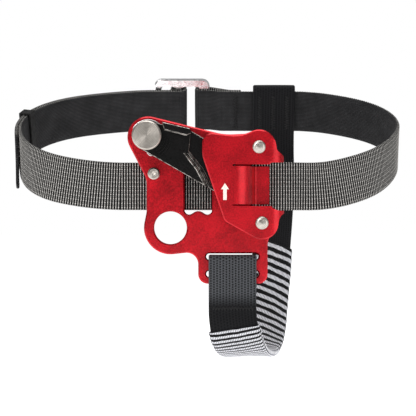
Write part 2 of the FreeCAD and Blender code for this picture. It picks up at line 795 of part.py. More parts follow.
def band_face(points, radii, thick):
    """A flat band of constant thickness that follows rounded corner points in the XY plane."""
    pieces = rounded_path([Vector(x, y, 0) for x, y in points], radii)
    sides = {1: [], -1: []}
    for start, middle, end, centre in pieces:
        for side in sides:
            shift = side * thick / 2
            if middle is None:
                along = (end - start).normalize()
                normal = Vector(-along.y, along.x, 0)
                sides[side].append(Part.LineSegment(start + normal * shift, end + normal * shift))
                continue
            turn = (middle - start).cross(end - middle).z
            radius = (start - centre).Length - shift * (1 if turn > 0 else -1)
            moved = [centre + (p - centre).normalize() * radius for p in (start, middle, end)]
            sides[side].append(Part.Arc(*moved))
    first, last = sides[1], sides[-1]
    caps = [
        Part.LineSegment(first[0].StartPoint, last[0].StartPoint),
        Part.LineSegment(first[-1].EndPoint, last[-1].EndPoint),
    ]
    edges = [edge.toShape() for edge in first + last + caps]
    return Part.Face(Part.Wire(Part.__sortEdges__(edges)))


def band(points, radii, thick, wide):
    """The same band raised along Z, centred on Z = 0."""
    face = band_face(points, radii, thick)
    face.translate(Vector(0, 0, -wide / 2))
    return face.extrude(Vector(0, 0, wide))


def smooth(points):
    curve = Part.BSplineCurve()
    curve.interpolate(points)
    return curve


def sampled_route(route, count):
    """Evenly spaced (centre, tangent) pairs along a smooth curve through the route's points."""
    curve = smooth(route)
    length = curve.length()
    samples = []
    for i in range(count):
        at = curve.parameterAtDistance(length * i / (count - 1), curve.FirstParameter)
        samples.append((curve.value(at), curve.tangent(at)[0].normalize()))
    return samples


def ribbon(stations, wide, thick):
    """A band through stations of (centre, across, outward), with four smooth long faces."""
    sections = []
    for centre, across, outward in stations:
        side, face = across * (wide / 2), outward * (thick / 2)
        corners = [centre - side - face, centre + side - face, centre + side + face]
        corners += [centre - side + face, centre - side - face]
        sections.append(Part.makePolygon(corners))
    return Part.makeLoft(sections, True, False)


def framed(samples, across_at):
    """Stations from samples: across_at(i, centre) gives the width direction before squaring."""
    stations = []
    for i, (centre, tangent) in enumerate(samples):
        across = across_at(i / (len(samples) - 1), centre)
        across = (across - tangent * across.dot(tangent)).normalize()
        outward = tangent.cross(across).normalize()
        stations.append((centre, across, outward))
    return stations


# ---------------------------------------------------------------- ankle loop

back_tilt = math.atan(value_of("back_rise")) * TURN
strap_z = value_of("strap_front_z")
strap_behind = plate_back + value_of("web_play") + web_thick / 2
strap_ahead = plate_front - value_of("web_play") - web_thick / 2
strap_left_x = -26.0
strap_right_x = 56.0
joint_right_x = 74.0
joint_left_x = 40.0
buckle_pass_x = -16.0
back_z = strap_z + value_of("back_rise") * (value_of("back_y") - strap_behind)
back_place = Placement(Vector(0, value_of("back_y"), back_z), Rotation(Vector(1, 0, 0), back_tilt))


def back_point(x, out):
    """A point of the ankle strap's back run: x along it, out away from the ankle."""
    return back_place.multVec(Vector(x, out, 0))


def loop_across(_, centre):
    """The strap stands upright at the plate and leans with the loop's plane at the back."""
    share = min(max((centre.y - 5) / 80, 0), 1)
    lean = back_tilt * share / TURN
    return Vector(0, -math.sin(lean), math.cos(lean))


def loop_height(y):
    return strap_z + value_of("back_rise") * max(y - strap_behind, 0)


def loop_route(points):
    return [Vector(x, y, loop_height(y)) for x, y in points]


LEFT_RUN = [
    (-32, 4.0), (-40, 5.4), (-50, 8.4), (-61, 13.4), (-71, 21.2), (-78.8, 32), (-83.4, 45),
    (-84.9, 58), (-83.0, 71), (-77.6, 83), (-69, 92.5), (-58, 99.3), (-45, 104), (-32, 107.2),
]
RIGHT_RUN = [
    (60, -2.7), (66, -0.9), (74, 1.8), (84, 5.6), (95, 11.2), (106, 19.5), (115.5, 31),
    (122.5, 45), (125.6, 60), (123.6, 74), (117, 87), (107, 96.5), (95, 103.4), (84, 107.6),
]


def left_route():
    ends = [Vector(strap_left_x, strap_behind, strap_z)]
    return ends + loop_route(LEFT_RUN) + [back_point(-22.0, -0.6), back_point(buckle_pass_x, 0)]


def right_route():
    start = [Vector(strap_right_x, strap_ahead, strap_z)]
    return start + loop_route(RIGHT_RUN) + [back_point(joint_right_x, 0)]


def square_ends(stations, first_frame, last_frame):
    """Sets the two end sections square to the pieces that they meet."""
    stations = list(stations)
    stations[0] = (stations[0][0],) + first_frame
    stations[-1] = (stations[-1][0],) + last_frame
    return stations


UPRIGHT = Vector(0, 0, 1)
back_across = back_place.Rotation.multVec(Vector(0, 0, 1))
back_outward = back_place.Rotation.multVec(Vector(0, 1, 0))


def left_stations():
    stations = framed(sampled_route(left_route(), 34), loop_across)
    sign = 1 if stations[-1][2].dot(back_outward) > 0 else -1
    return square_ends(
        stations,
        (UPRIGHT, Vector(0, -sign, 0)),
        (back_across, back_outward * sign),
    )


def build_ankle_strap():
    slot_x = value_of("strap_slot_x") + value_of("strap_slot_wide") / 2
    bend = 1.6
    front_points = [
        (strap_left_x, strap_behind),
        (slot_x, strap_behind),
        (slot_x, strap_ahead),
        (strap_right_x, strap_ahead),
    ]
    front = band(front_points, [bend, bend], web_thick, web_wide)
    feature_of("ankle_strap_front", front, Placement(Vector(0, 0, strap_z), Rotation()))

    feature_of("ankle_strap_left", ribbon(left_stations(), web_wide, web_thick))

    stations = framed(sampled_route(right_route(), 34), loop_across)
    sign = 1 if stations[-1][2].dot(back_outward) > 0 else -1
    stations = square_ends(
        stations,
        (UPRIGHT, Vector(0, -sign, 0)),
        (back_across, back_outward * sign),
    )
    feature_of("ankle_strap_right", ribbon(stations, web_wide, web_thick))

    joint = band([(joint_left_x, 0), (joint_right_x, 0)], [], web_thick, web_wide)
    feature_of("ankle_strap_joint", joint, back_place)


def build_buckle():
    """A flat three-bar buckle, its plate out beyond the two layers of strap under it."""
    body = new_body("buckle_frame")
    left, high = value_of("buckle_left"), value_of("buckle_high")
    right = left + value_of("buckle_long")
    slot_high = value_of("buckle_slot_high") / 2
    under = buckle_under()
    outline = rounded_box(left, -high / 2, right, high / 2, value_of("buckle_corner"))
    sketch = sketch_on(body, "XZ_Plane", outline, -under - value_of("buckle_thick"))
    pad(body, sketch, "Dims.buckle_thick")
    first = left + value_of("buckle_bar")
    centre_left = value_of("centre_bar_x")
    centre_right = centre_left + value_of("centre_bar")
    last = right - value_of("anchor_bar")
    for low_x, high_x in ((first, centre_left), (centre_right, last)):
        opening = rounded_box(low_x, -slot_high, high_x, slot_high, value_of("slot_corner"))
        pocket(body, sketch_on(body, "XZ_Plane", opening))
    depths = [under, under + value_of("buckle_thick")]
    bevel(body, flat_edge_at(depths), "Dims.cover_edge_break")
    body.Placement = back_place
    doc.recompute()


def buckle_under():
    """How far the buckle's inner face lies out from the strap's centre-line."""
    return web_thick / 2 + web_pitch + 0.35


def build_buckle_webbing():
    thick = value_of("buckle_thick")
    under = buckle_under()
    over = under + thick + 0.35 + web_thick / 2
    tail_out = web_pitch
    centre_left = value_of("centre_bar_x")
    centre_right = centre_left + value_of("centre_bar")
    clear = 0.5 + web_thick / 2
    right = value_of("buckle_left") + value_of("buckle_long")
    bar_left = right - value_of("anchor_bar")
    run = [
        (buckle_pass_x, 0),
        (centre_right - 2.0, 0),
        (centre_right + clear, 1.6),
        (centre_right + clear, over),
        (centre_left - clear, over),
        (centre_left - clear, tail_out),
        (buckle_pass_x, tail_out),
    ]
    shape = band(run, [2.6, 2.2, 1.7, 1.7, 1.7], web_thick, web_wide)
    feature_of("ankle_strap_buckle_pass", shape, back_place)
    fold = [
        (joint_left_x, 0),
        (right + 7, 0),
        (right, under - 0.35 - web_thick / 2),
        (bar_left - clear, under - 0.35 - web_thick / 2),
        (bar_left - clear, over),
        (right + 0.6, over),
        (right + 12, web_pitch),
        (joint_left_x - 1.0, web_pitch),
    ]
    shape = band(fold, [8, 8, 1.7, 1.7, 5, 8], web_thick, web_wide)
    feature_of("buckle_anchor_fold", shape, back_place)


# The tail leaves the strap in its last stations: how many, how far out and how far down.
TAIL_FREE, TAIL_LIFT, TAIL_SINK = 3.0, 0.12, 0.20
TAIL_TO, KEEPER_AT = 12, 19


def build_tail():
    """The strap's free end, outside the left run, through the keeper and then a little loose."""
    stations = left_stations()
    outside = 1 if stations[-1][2].dot(back_outward) > 0 else -1
    # The last station is at the buckle, and the keeper is where the loop turns forward.
    lying = stations[: TAIL_TO - 1 : -1]
    centres, acrosses = [], []
    for i, (centre, across, outward) in enumerate(lying):
        left_to_go = len(lying) - 1 - i
        lift = TAIL_LIFT * max(TAIL_FREE - left_to_go, 0) ** 2
        sink = TAIL_SINK * max(TAIL_FREE + 2 - left_to_go, 0) ** 2
        centres.append(centre + outward * (outside * (web_pitch + lift)) - UPRIGHT * sink)
        acrosses.append(across)
    curve = smooth(centres)
    built = []
    for centre, across in zip(centres, acrosses):
        tangent = curve.tangent(curve.parameter(centre))[0].normalize()
        across = (across - tangent * across.dot(tangent)).normalize()
        built.append((centre, across, tangent.cross(across).normalize()))
    first_out = back_outward * (1 if built[0][2].dot(back_outward) > 0 else -1)
    built[0] = (back_point(buckle_pass_x, web_pitch), back_across, first_out)
    feature_of("ankle_strap_tail", ribbon(built, web_wide, web_thick))

    centre, across, outward = stations[KEEPER_AT]
    outward = outward * outside
    along = across.cross(outward).normalize()
    wall = value_of("keeper_wall")
    middle = centre + outward * (web_pitch / 2)
    inner_deep = web_thick + web_pitch + 2 * value_of("keeper_play")
    inner_high = web_wide + 2 * value_of("keeper_play")
    long = value_of("keeper_long")

    def block(deep, high):
        return Part.makeBox(long, deep, high, Vector(-long / 2, -deep / 2, -high / 2))

    outer = block(inner_deep + 2 * wall, inner_high + 2 * wall)
    outer = outer.makeFillet(0.8, [e for e in outer.Edges if e.BoundBox.XLength > long - 0.1])
    ring = outer.cut(block(inner_deep, inner_high))
    turn = FreeCAD.Matrix(
        along.x, outward.x, across.x, middle.x,
        along.y, outward.y, across.y, middle.y,
        along.z, outward.z, across.z, middle.z,
        0, 0, 0, 1,
    )
    feature_of("tail_keeper", ring, Placement(turn))


# ---------------------------------------------------------------- foot loop

FOOT_END_Z = -44.0
heel_x = 58.6


def foot_layers():
    """Depths of the front layer and of the sewn end behind it, in front of the plate."""
    inner = plate_front - value_of("web_play") - web_thick / 2
    return inner - web_pitch, inner


def build_foot_anchor():
    """The front end: through the upper slot, round the bar and out through the lower slot."""
    outer, inner = foot_layers()
    behind = plate_back + value_of("web_play") + web_thick / 2
    upper, lower = value_of("upper_slot_z"), value_of("lower_slot_z")
    points = [
        (FOOT_END_Z, outer),
        (upper, outer),
        (upper, behind),
        (lower, behind),
        (lower, inner),
        (FOOT_END_Z - 1.0, inner),
    ]
    shape = band(points, [1.5, 1.5, 1.5, 1.5], web_thick, web_wide)
    # The band is drawn with its run along X and its depth along Y, then turned to stand.
    turn = FreeCAD.Matrix(0, 0, 1, 0, 0, 1, 0, 0, 1, 0, 0, 0, 0, 0, 0, 1)
    turn.A14 = value_of("foot_slot_centre")
    feature_of("foot_strap_anchor", shape.transformGeometry(turn))


FOOT_RUN = [
    (32.8, -6.6, -50), (34.4, -3.6, -57.5), (37.0, 3.5, -63.2), (40.0, 13.5, -66.2),
    (43.4, 25.0, -66.0), (46.8, 37.0, -62.0), (50.0, 48.5, -53.5), (52.8, 58.5, -41.5),
    (55.0, 66.5, -27.5), (56.5, 74.0, -12.0), (57.5, 81.5, 3.0), (58.0, 90.0, 17.0),
    (58.3, 99.0, 28.5), (58.5, 107.5, 37.0), (58.6, 112.6, 43.5),
]


def foot_stations(count):
    outer, _ = foot_layers()
    top = back_place.multVec(Vector(heel_x, -web_pitch, -web_wide / 2 - 3))
    route = [Vector(value_of("foot_slot_centre"), outer, FOOT_END_Z)]
    route += [Vector(*point) for point in FOOT_RUN] + [top]

    def across(share, _):
        twist = math.sin(math.pi * min(max((share - 0.16) / 0.84, 0), 1)) * 38 / TURN
        return Vector(math.cos(twist), math.sin(twist), 0)

    stations = framed(sampled_route(route, count), across)
    first = Vector(0, 1, 0) if stations[0][2].y > 0 else Vector(0, -1, 0)
    last = back_outward * (1 if stations[-1][2].dot(back_outward) > 0 else -1)
    return square_ends(stations, (Vector(1, 0, 0), first), (Vector(1, 0, 0), last))


# First and last of the strap's stations that the sleeve covers.
SLEEVE_STATIONS = (2, 25)


def build_foot_strap():
    stations = foot_stations(41)
    sleeve_from, sleeve_to = SLEEVE_STATIONS
    feature_of("foot_strap", ribbon(stations, web_wide, web_thick))
    wide = value_of("sleeve_wide")
    wall = value_of("sleeve_wall")
    covered = stations[sleeve_from : sleeve_to + 1]
    outer = ribbon(covered, wide, web_thick + 2 * wall + 0.4)
    # The tube is open at both ends, so the space for the strap runs a little past them.
    inner = ribbon(stations[sleeve_from - 1 : sleeve_to + 2], web_wide + 0.4, web_thick + 0.4)
    feature_of("foot_sleeve", outer.cut(inner))


def build_heel_joint():
    """The heel end folds over the ankle strap's top edge and is sewn through."""
    fold_over = web_wide / 2 + 0.6
    points = [
        (-web_wide / 2 - 3, -web_pitch),
        (fold_over + web_pitch, -web_pitch),
        (fold_over + web_pitch, web_pitch),
        (-web_wide / 2 + 0.6, web_pitch),
    ]
    radius = web_pitch - 0.1
    shape = band(points, [radius, radius], web_thick, web_wide)
    turn = FreeCAD.Matrix(0, 0, 1, heel_x, 0, 1, 0, 0, 1, 0, 0, 0, 0, 0, 0, 1)
    feature_of("heel_strap_fold", shape.transformGeometry(turn), back_place)


def build_tacks():
    """Zigzag-sewn bars, as thin raised blocks of thread on the face towards the ankle."""
    proud = value_of("tack_proud")
    inner_face = -web_pitch - web_thick / 2
    places = [("heel_tack_left", 50.3), ("heel_tack_middle", 58.3), ("heel_tack_right", 66.4)]
    for label, x in places:
        block = Part.makeBox(3.2, proud, 21.0, Vector(x - 1.6, inner_face - proud, -10.5))
        feature_of(label, block, back_place)
        back_block = Part.makeBox(3.2, proud, 21.0, Vector(x - 1.6, -inner_face, -10.5))
        feature_of(label.replace("tack", "back_tack"), back_block, back_place)
    block = Part.makeBox(3.0, proud, 21.0, Vector(34.6, -web_thick / 2 - proud, -10.5))
    feature_of("anchor_tack", block, back_place)
    outer, _ = foot_layers()
    face = outer - web_thick / 2
    low = Vector(value_of("foot_slot_centre") - 10.5, face - proud, FOOT_END_Z + 1.4)
    feature_of("foot_tack", Part.makeBox(21.0, proud, 2.2, low))


# ---------------------------------------------------------------- build and write

build_frame_plate()
build_cover_plate()
build_fasteners()
build_axle()
build_stop_pin()
build_cam()
build_cam_spring()
build_ankle_strap()
build_buckle()
build_buckle_webbing()
build_tail()
build_foot_anchor()
build_foot_strap()
build_heel_joint()
build_tacks()

doc.recompute()
for item in doc.Objects:
    if {"Invalid", "Error"} & set(item.State):
        raise ValueError(f"{item.Label} is {item.State}")
os.makedirs("parts", exist_ok=True)
for item in subparts:
    shape = item.Shape
    if shape.isNull() or not shape.isValid() or not shape.Solids:
        raise ValueError(f"{item.Label} has no valid solid")
    print(f"{item.Label:26s} {len(shape.Solids)} solid, {shape.Volume:10.1f} mm3")
    shape.exportStep(f"parts/{item.Label}.step")
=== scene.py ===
"""Looks of a right-foot rope ascender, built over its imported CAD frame, in metres."""

import math

import bmesh
import bpy
import numpy as np
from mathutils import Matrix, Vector


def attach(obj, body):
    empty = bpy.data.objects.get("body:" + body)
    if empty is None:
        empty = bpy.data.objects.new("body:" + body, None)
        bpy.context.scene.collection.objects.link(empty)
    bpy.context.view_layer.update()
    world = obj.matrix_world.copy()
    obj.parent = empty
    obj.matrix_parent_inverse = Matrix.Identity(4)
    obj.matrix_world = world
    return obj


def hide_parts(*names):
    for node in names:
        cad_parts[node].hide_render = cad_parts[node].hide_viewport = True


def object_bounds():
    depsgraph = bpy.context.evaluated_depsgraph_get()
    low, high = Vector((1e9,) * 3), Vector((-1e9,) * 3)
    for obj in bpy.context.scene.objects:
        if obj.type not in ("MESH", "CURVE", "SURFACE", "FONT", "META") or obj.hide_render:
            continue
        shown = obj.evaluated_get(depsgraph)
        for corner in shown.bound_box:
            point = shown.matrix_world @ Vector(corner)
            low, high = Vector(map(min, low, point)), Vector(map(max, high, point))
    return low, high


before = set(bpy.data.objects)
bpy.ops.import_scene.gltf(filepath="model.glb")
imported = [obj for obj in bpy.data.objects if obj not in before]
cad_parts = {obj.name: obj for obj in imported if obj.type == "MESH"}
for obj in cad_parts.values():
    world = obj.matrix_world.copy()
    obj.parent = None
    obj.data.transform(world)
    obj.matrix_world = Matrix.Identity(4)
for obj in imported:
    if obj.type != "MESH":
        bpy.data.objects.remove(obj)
cad_low, cad_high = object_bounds()
MM = 0.001
CLAMP = "clamp_frame"

# ------------------------------------------------------------------ sizes shared with the CAD
# Everything is in millimetres up to the meshes and lamps, with x to the right, y to the back and z up.

WEB_WIDE = 25.0  # both webbings
WEB_THICK = 2.0
LAYER = 2.3  # from one layer of webbing to the next
PLAY = 0.45  # between webbing and the metal it lies on
PLATE_HALF = 2.0  # half the frame plate's thickness
STRAP_Z = 21.6  # the ankle strap's middle at the plate
BACK_Y = 109.5  # the ankle strap's middle at the back of the loop
BACK_RISE = 0.438  # how much the loop rises for each millimetre towards the back
STRAP_BEHIND = PLATE_HALF + PLAY + WEB_THICK / 2
STRAP_AHEAD = -STRAP_BEHIND
STRAP_LEFT_X, STRAP_RIGHT_X = -26.0, 56.0  # where the strap leaves the plate at each side
SLOT_X = 43.8  # where it passes through the plate
JOINT_LEFT_X, JOINT_RIGHT_X = 40.0, 74.0  # the stretch sewn to the foot strap
BUCKLE_PASS_X = -16.0  # where the strap comes to the buckle
BUCKLE_LEFT, BUCKLE_LONG, ANCHOR_BAR, BUCKLE_THICK = -12.3, 32.7, 6.3, 3.0
CENTRE_BAR_X, CENTRE_BAR = -0.5, 5.0
BUCKLE_PLAY, BAR_PLAY = 0.35, 0.5  # between the strap and the buckle's faces, and the sides of its bars
BAR_TURN, SLOW_TURN = 1.7, 8.0  # bends of the strap round a bar, and where it only leans
PLATE_TURN, SLOT_TURN, HEEL_TURN = 1.6, 1.5, 2.2  # bends at the plate's strap slot, foot slots and heel fold
UPPER_SLOT_Z, LOWER_SLOT_Z = -15.0, -24.0  # the plate's slots for the foot strap
FOOT_X, HEEL_X, FOOT_END_Z = 32.2, 58.6, -44.0  # the foot strap's middle in front and behind, and its end
FOLD_PLAY, HEEL_BELOW = 0.6, 3.0  # the heel fold past the ankle strap's edges, above and below
FOOT_TWIST, TWIST_FROM = math.radians(38), 0.16  # the foot strap's most twist, and the share where it begins
LEAN_FROM, LEAN_OVER = 5.0, 80.0  # depth where the ankle strap begins to lean, and over how much more

BACK_TILT = math.atan(BACK_RISE)
BACK_Z = STRAP_Z + BACK_RISE * (BACK_Y - STRAP_BEHIND)
BACK_ACROSS = np.array([0, -math.sin(BACK_TILT), math.cos(BACK_TILT)])
BACK_OUT = np.array([0, math.cos(BACK_TILT), math.sin(BACK_TILT)])


def back_point(x, out, up=0.0):
    """A point at the back of the ankle loop: x along the strap, out from the ankle, up across it."""
    return np.array([x, BACK_Y, BACK_Z]) + BACK_OUT * out + BACK_ACROSS * up


# ------------------------------------------------------------------ routes of the webbing


def smooth_line(points, step=0.5):
    """Rows about step apart on the natural cubic spline through the given rows of a line."""
    points = np.array(points, float)
    chord = np.linalg.norm(np.diff(points[:, :3], axis=0), axis=1)
    knots = np.concatenate([[0], np.cumsum(chord)])
    count = len(points)
    system, right = np.zeros((count, count)), np.zeros_like(points)
    system[0, 0] = system[-1, -1] = 1
    for i in range(1, count - 1):
        before, after = chord[i - 1], chord[i]
        system[i, i - 1 : i + 2] = before, 2 * (before + after), after
        right[i] = 6 * ((points[i + 1] - points[i]) / after - (points[i] - points[i - 1]) / before)
    bend = np.linalg.solve(system, right)
    at = np.linspace(0, knots[-1], int(knots[-1] / step) + 1)
    i = np.clip(np.searchsorted(knots, at, side="right") - 1, 0, count - 2)
    gap = chord[i][:, None]
    left = (at - knots[i])[:, None]
    to_go = gap - left
    return (
        (bend[i] * to_go**3 + bend[i + 1] * left**3) / (6 * gap)
        + (points[i] / gap - bend[i] * gap / 6) * to_go
        + (points[i + 1] / gap - bend[i + 1] * gap / 6) * left
    )


def rounded_line(points, radii, step=0.4):
    """Points about step apart along straight runs joined by arcs of the given radii."""
    points = [np.array(p, float) for p in points]
    line = [points[0]]
    for corner, before, after, radius in zip(points[1:], points, points[2:], radii):
        back = (before - corner) / np.linalg.norm(before - corner)
        on = (after - corner) / np.linalg.norm(after - corner)
        half = math.acos(np.clip(back @ on, -1, 1)) / 2
        start, end = corner + back * radius / math.tan(half), corner + on * radius / math.tan(half)
        middle = back + on
        centre = corner + middle / np.linalg.norm(middle) * radius / math.sin(half)
        line.append(start)
        turn = math.pi - 2 * half
        pieces = max(int(turn * radius / step), 3)
        for i in range(1, 1 + pieces):
            share = i / pieces
            arm = (start - centre) * math.sin((1 - share) * turn) + (end - centre) * math.sin(share * turn)
            line.append(centre + arm / math.sin(turn) if turn < 3 else centre + arm)
    line.append(points[-1])
    return evenly(line, step)


def evenly(line, step):
    """The same line with its rows a fixed step apart."""
    line = np.array(line, float)
    run = np.concatenate([[0], np.cumsum(np.linalg.norm(np.diff(line[:, :3], axis=0), axis=1))])
    keep = np.concatenate([[True], np.diff(run) > 1e-6])
    line, run = line[keep], run[keep]
    at = np.linspace(0, run[-1], max(int(round(run[-1] / step)), 2) + 1)
    return np.stack([np.interp(at, run, column) for column in line.T], axis=1)


def at_back(points, radii):
    """A rounded line in the flat plan of the loop's back run."""
    flat = rounded_line([(x, out, 0) for x, out in points], radii)
    return np.array([back_point(x, out) for x, out, _ in flat])


def loop_height(y):
    """The height of the ankle strap's middle at a depth: level at the plate, then rising to the back."""
    return STRAP_Z + BACK_RISE * max(y - STRAP_BEHIND, 0)


LEFT_RUN = [
    (-32, 4.0), (-40, 5.4), (-50, 8.4), (-61, 13.4), (-71, 21.2), (-78.8, 32), (-83.4, 45),
    (-84.9, 58), (-83.0, 71), (-77.6, 83), (-69, 92.5), (-58, 99.3), (-45, 104), (-32, 107.2),
]
RIGHT_RUN = [
    (60, -2.7), (66, -0.9), (74, 1.8), (84, 5.6), (95, 11.2), (106, 19.5), (115.5, 31),
    (122.5, 45), (125.6, 60), (123.6, 74), (117, 87), (107, 96.5), (95, 103.4), (84, 107.6),
]
FOOT_RUN = [
    (32.8, -6.6, -50), (34.4, -3.6, -57.5), (37.0, 3.5, -63.2), (40.0, 13.5, -66.2), (43.4, 25.0, -66.0),
    (46.8, 37.0, -62.0), (50.0, 48.5, -53.5), (52.8, 58.5, -41.5), (55.0, 66.5, -27.5), (56.5, 74.0, -12.0),
    (57.5, 81.5, 3.0), (58.0, 90.0, 17.0), (58.3, 99.0, 28.5), (58.5, 107.5, 37.0), (58.6, 112.6, 43.5),
]


def loop_across(points):
    """The strap stands upright at the plate and leans with the loop's plane at the back."""
    lean = BACK_TILT * np.clip((points[:, 1] - LEAN_FROM) / LEAN_OVER, 0, 1)
    return np.stack([0 * lean, -np.sin(lean), np.cos(lean)], axis=1)


# ------------------------------------------------------------------ centre-lines
# Each row of a line is a centre and the direction across the webbing there: x, y, z, ax, ay, az.


def with_across(points, across):
    """Rows of a line, from its points and one direction or a direction for each."""
    return np.hstack([points, np.broadcast_to(across, points.shape)])


def ankle_line():
    """The whole ankle strap: sewn end, buckle bar, right side, plate, left side, buckle and tail."""
    over = LAYER + WEB_THICK + BUCKLE_THICK + 2 * BUCKLE_PLAY
    clear = BAR_PLAY + WEB_THICK / 2
    buckle_right = BUCKLE_LEFT + BUCKLE_LONG
    bar_left = buckle_right - ANCHOR_BAR
    anchor = at_back(
        [
            (JOINT_LEFT_X - 1, LAYER), (buckle_right + 12, LAYER), (buckle_right + 0.6, over),
            (bar_left - clear, over), (bar_left - clear, LAYER), (buckle_right, LAYER),
            (buckle_right + 7, 0), (JOINT_RIGHT_X, 0),
        ],
        [SLOW_TURN, 5, BAR_TURN, BAR_TURN, SLOW_TURN, SLOW_TURN],
    )
    right = smooth_line(
        [(STRAP_RIGHT_X, STRAP_AHEAD, STRAP_Z)]
        + [(x, y, loop_height(y)) for x, y in RIGHT_RUN]
        + [back_point(JOINT_RIGHT_X, 0)]
    )
    front = rounded_line(
        [
            (STRAP_RIGHT_X, STRAP_AHEAD, STRAP_Z), (SLOT_X, STRAP_AHEAD, STRAP_Z),
            (SLOT_X, STRAP_BEHIND, STRAP_Z), (STRAP_LEFT_X, STRAP_BEHIND, STRAP_Z),
        ],
        [PLATE_TURN, PLATE_TURN],
    )
    left_points = [(STRAP_LEFT_X, STRAP_BEHIND, STRAP_Z)]
    left_points += [(x, y, loop_height(y)) for x, y in LEFT_RUN]
    left = smooth_line(left_points + [back_point(-22.0, -0.6), back_point(BUCKLE_PASS_X, 0)])
    centre_right = CENTRE_BAR_X + CENTRE_BAR
    wrap = at_back(
        [
            (BUCKLE_PASS_X, 0), (centre_right - 2, 0), (centre_right + clear, 1.6),
            (centre_right + clear, over), (CENTRE_BAR_X - clear, over),
            (CENTRE_BAR_X - clear, LAYER), (BUCKLE_PASS_X, LAYER),
        ],
        [2.6, 2.2, BAR_TURN, BAR_TURN, BAR_TURN],
    )
    loop = np.vstack([anchor, right[::-1], front, left, wrap])
    return np.vstack([with_across(loop, loop_across(loop)), tail_line(left)])


# The left run in even steps: how many there are, and the one where the tail ends. Its last few steps are
# free, where it lifts off the strap and sinks a little.
STATIONS, TAIL_TO = 33, 12
TAIL_FREE, TAIL_LIFT, TAIL_SINK = 3.0, 0.12, 0.20


def tail_line(left):
    """The free end, outside the left run, through the keeper and then a little loose."""
    stations = evenly(left, np.linalg.norm(np.diff(left, axis=0), axis=1).sum() / STATIONS)
    across = loop_across(stations)
    outward = np.cross(across, np.gradient(stations, axis=0))
    outward /= np.linalg.norm(outward, axis=1)[:, None]
    rows = []
    for at in range(STATIONS, TAIL_TO - 1, -1):
        to_go = at - TAIL_TO
        lift = TAIL_LIFT * max(TAIL_FREE - to_go, 0) ** 2
        sink = TAIL_SINK * max(TAIL_FREE + 2 - to_go, 0) ** 2
        rows.append([*(stations[at] + outward[at] * (LAYER + lift) - (0, 0, sink)), *across[at]])
    rows[0][:3] = back_point(BUCKLE_PASS_X, LAYER)
    return smooth_line(rows)


def foot_run():
    """The foot strap from the plate, under the boot and up to the heel."""
    top = back_point(HEEL_X, -LAYER, -WEB_WIDE / 2 - HEEL_BELOW)
    points = smooth_line([(FOOT_X, STRAP_AHEAD - LAYER, FOOT_END_Z)] + FOOT_RUN + [top])
    share = np.linspace(0, 1, len(points))
    twist = FOOT_TWIST * np.sin(np.pi * np.clip((share - TWIST_FROM) / (1 - TWIST_FROM), 0, 1))
    return np.hstack([points, np.stack([np.cos(twist), np.sin(twist), 0 * twist], axis=1)])


def foot_line():
    """The whole foot strap: heel fold, run under the boot, and the end sewn round the plate's bar."""
    fold_top = WEB_WIDE / 2 + FOLD_PLAY + LAYER
    heel_plan = [
        (-WEB_WIDE / 2 + FOLD_PLAY, LAYER), (fold_top, LAYER),
        (fold_top, -LAYER), (-WEB_WIDE / 2 - HEEL_BELOW, -LAYER),
    ]
    flat = rounded_line([(up, out, 0) for up, out in heel_plan], [HEEL_TURN, HEEL_TURN])
    heel = np.array([back_point(HEEL_X, out, up) for up, out, _ in flat])
    outer, inner = STRAP_AHEAD - LAYER, STRAP_AHEAD
    anchor_plan = [
        (FOOT_END_Z, outer), (UPPER_SLOT_Z, outer), (UPPER_SLOT_Z, STRAP_BEHIND),
        (LOWER_SLOT_Z, STRAP_BEHIND), (LOWER_SLOT_Z, inner), (FOOT_END_Z - 1, inner),
    ]
    anchor = rounded_line([(FOOT_X, y, z) for z, y in anchor_plan], [SLOT_TURN] * 4)
    crosswise = np.array([1.0, 0, 0])
    return np.vstack([with_across(heel, crosswise), foot_run()[::-1], with_across(anchor, crosswise)])


# ------------------------------------------------------------------ webbing meshes

SEAM = 1e-7  # in metres: vertices nearer than this where a tube's seam closes are one
UV_UNIT = 100.0  # millimetres to one unit of the webbing's UV map


def sweep(line, section, step, relief):
    """A closed section, as (across, out) points, carried along a line by moving a grid's vertices.

    relief(along, across, out) gives how far a surface point stands proud, in millimetres. The UV map
    holds millimetres along and across, divided by UV_UNIT. Faces where out is positive take the second
    material slot.
    """
    line = evenly(line, step)
    centre, across = line[:, :3], line[:, 3:]
    tangent = np.gradient(centre, axis=0)
    tangent /= np.linalg.norm(tangent, axis=1)[:, None]
    across = across - tangent * (across * tangent).sum(axis=1)[:, None]
    across /= np.linalg.norm(across, axis=1)[:, None]
    outward = np.cross(tangent, across)
    along = np.concatenate([[0], np.cumsum(np.linalg.norm(np.diff(centre, axis=0), axis=1))])

    rows, columns = len(line), len(section)
    mesh = bmesh.new()
    # The grid has one column more than the section has points, and its last column closes the tube.
    bmesh.ops.create_grid(mesh, x_segments=rows - 1, y_segments=columns, size=1.0)
    uv_layer = mesh.loops.layers.uv.new("along_across")
    place = {}
    for vertex in mesh.verts:
        row = round((vertex.co.x + 1) / 2 * (rows - 1))
        column = round((vertex.co.y + 1) / 2 * columns)
        place[vertex] = (row, column)
    for vertex, (row, column) in place.items():
        side, out = section[column % columns]
        aside, away = outward_normal(section, column % columns)
        proud = relief(along[row], side, out)
        offset = across[row] * (side + aside * proud) + outward[row] * (out + away * proud)
        vertex.co = Vector((centre[row] + offset) * MM)
    for face in mesh.faces:
        height = 0
        for loop in face.loops:
            row, column = place[loop.vert]
            side, out = section[column % columns]
            loop[uv_layer].uv = (along[row] / UV_UNIT, side / UV_UNIT)
            height += out
        face.material_index = 1 if height > 0 else 0
        face.smooth = True
    bmesh.ops.remove_doubles(mesh, verts=mesh.verts, dist=SEAM)
    return mesh


def outward_normal(section, index):
    """The direction out of a closed section at one of its points."""
    before, after = section[index - 1], section[(index + 1) % len(section)]
    dx, dy = after[0] - before[0], after[1] - before[1]
    size = math.hypot(dx, dy)
    return dy / size, -dx / size


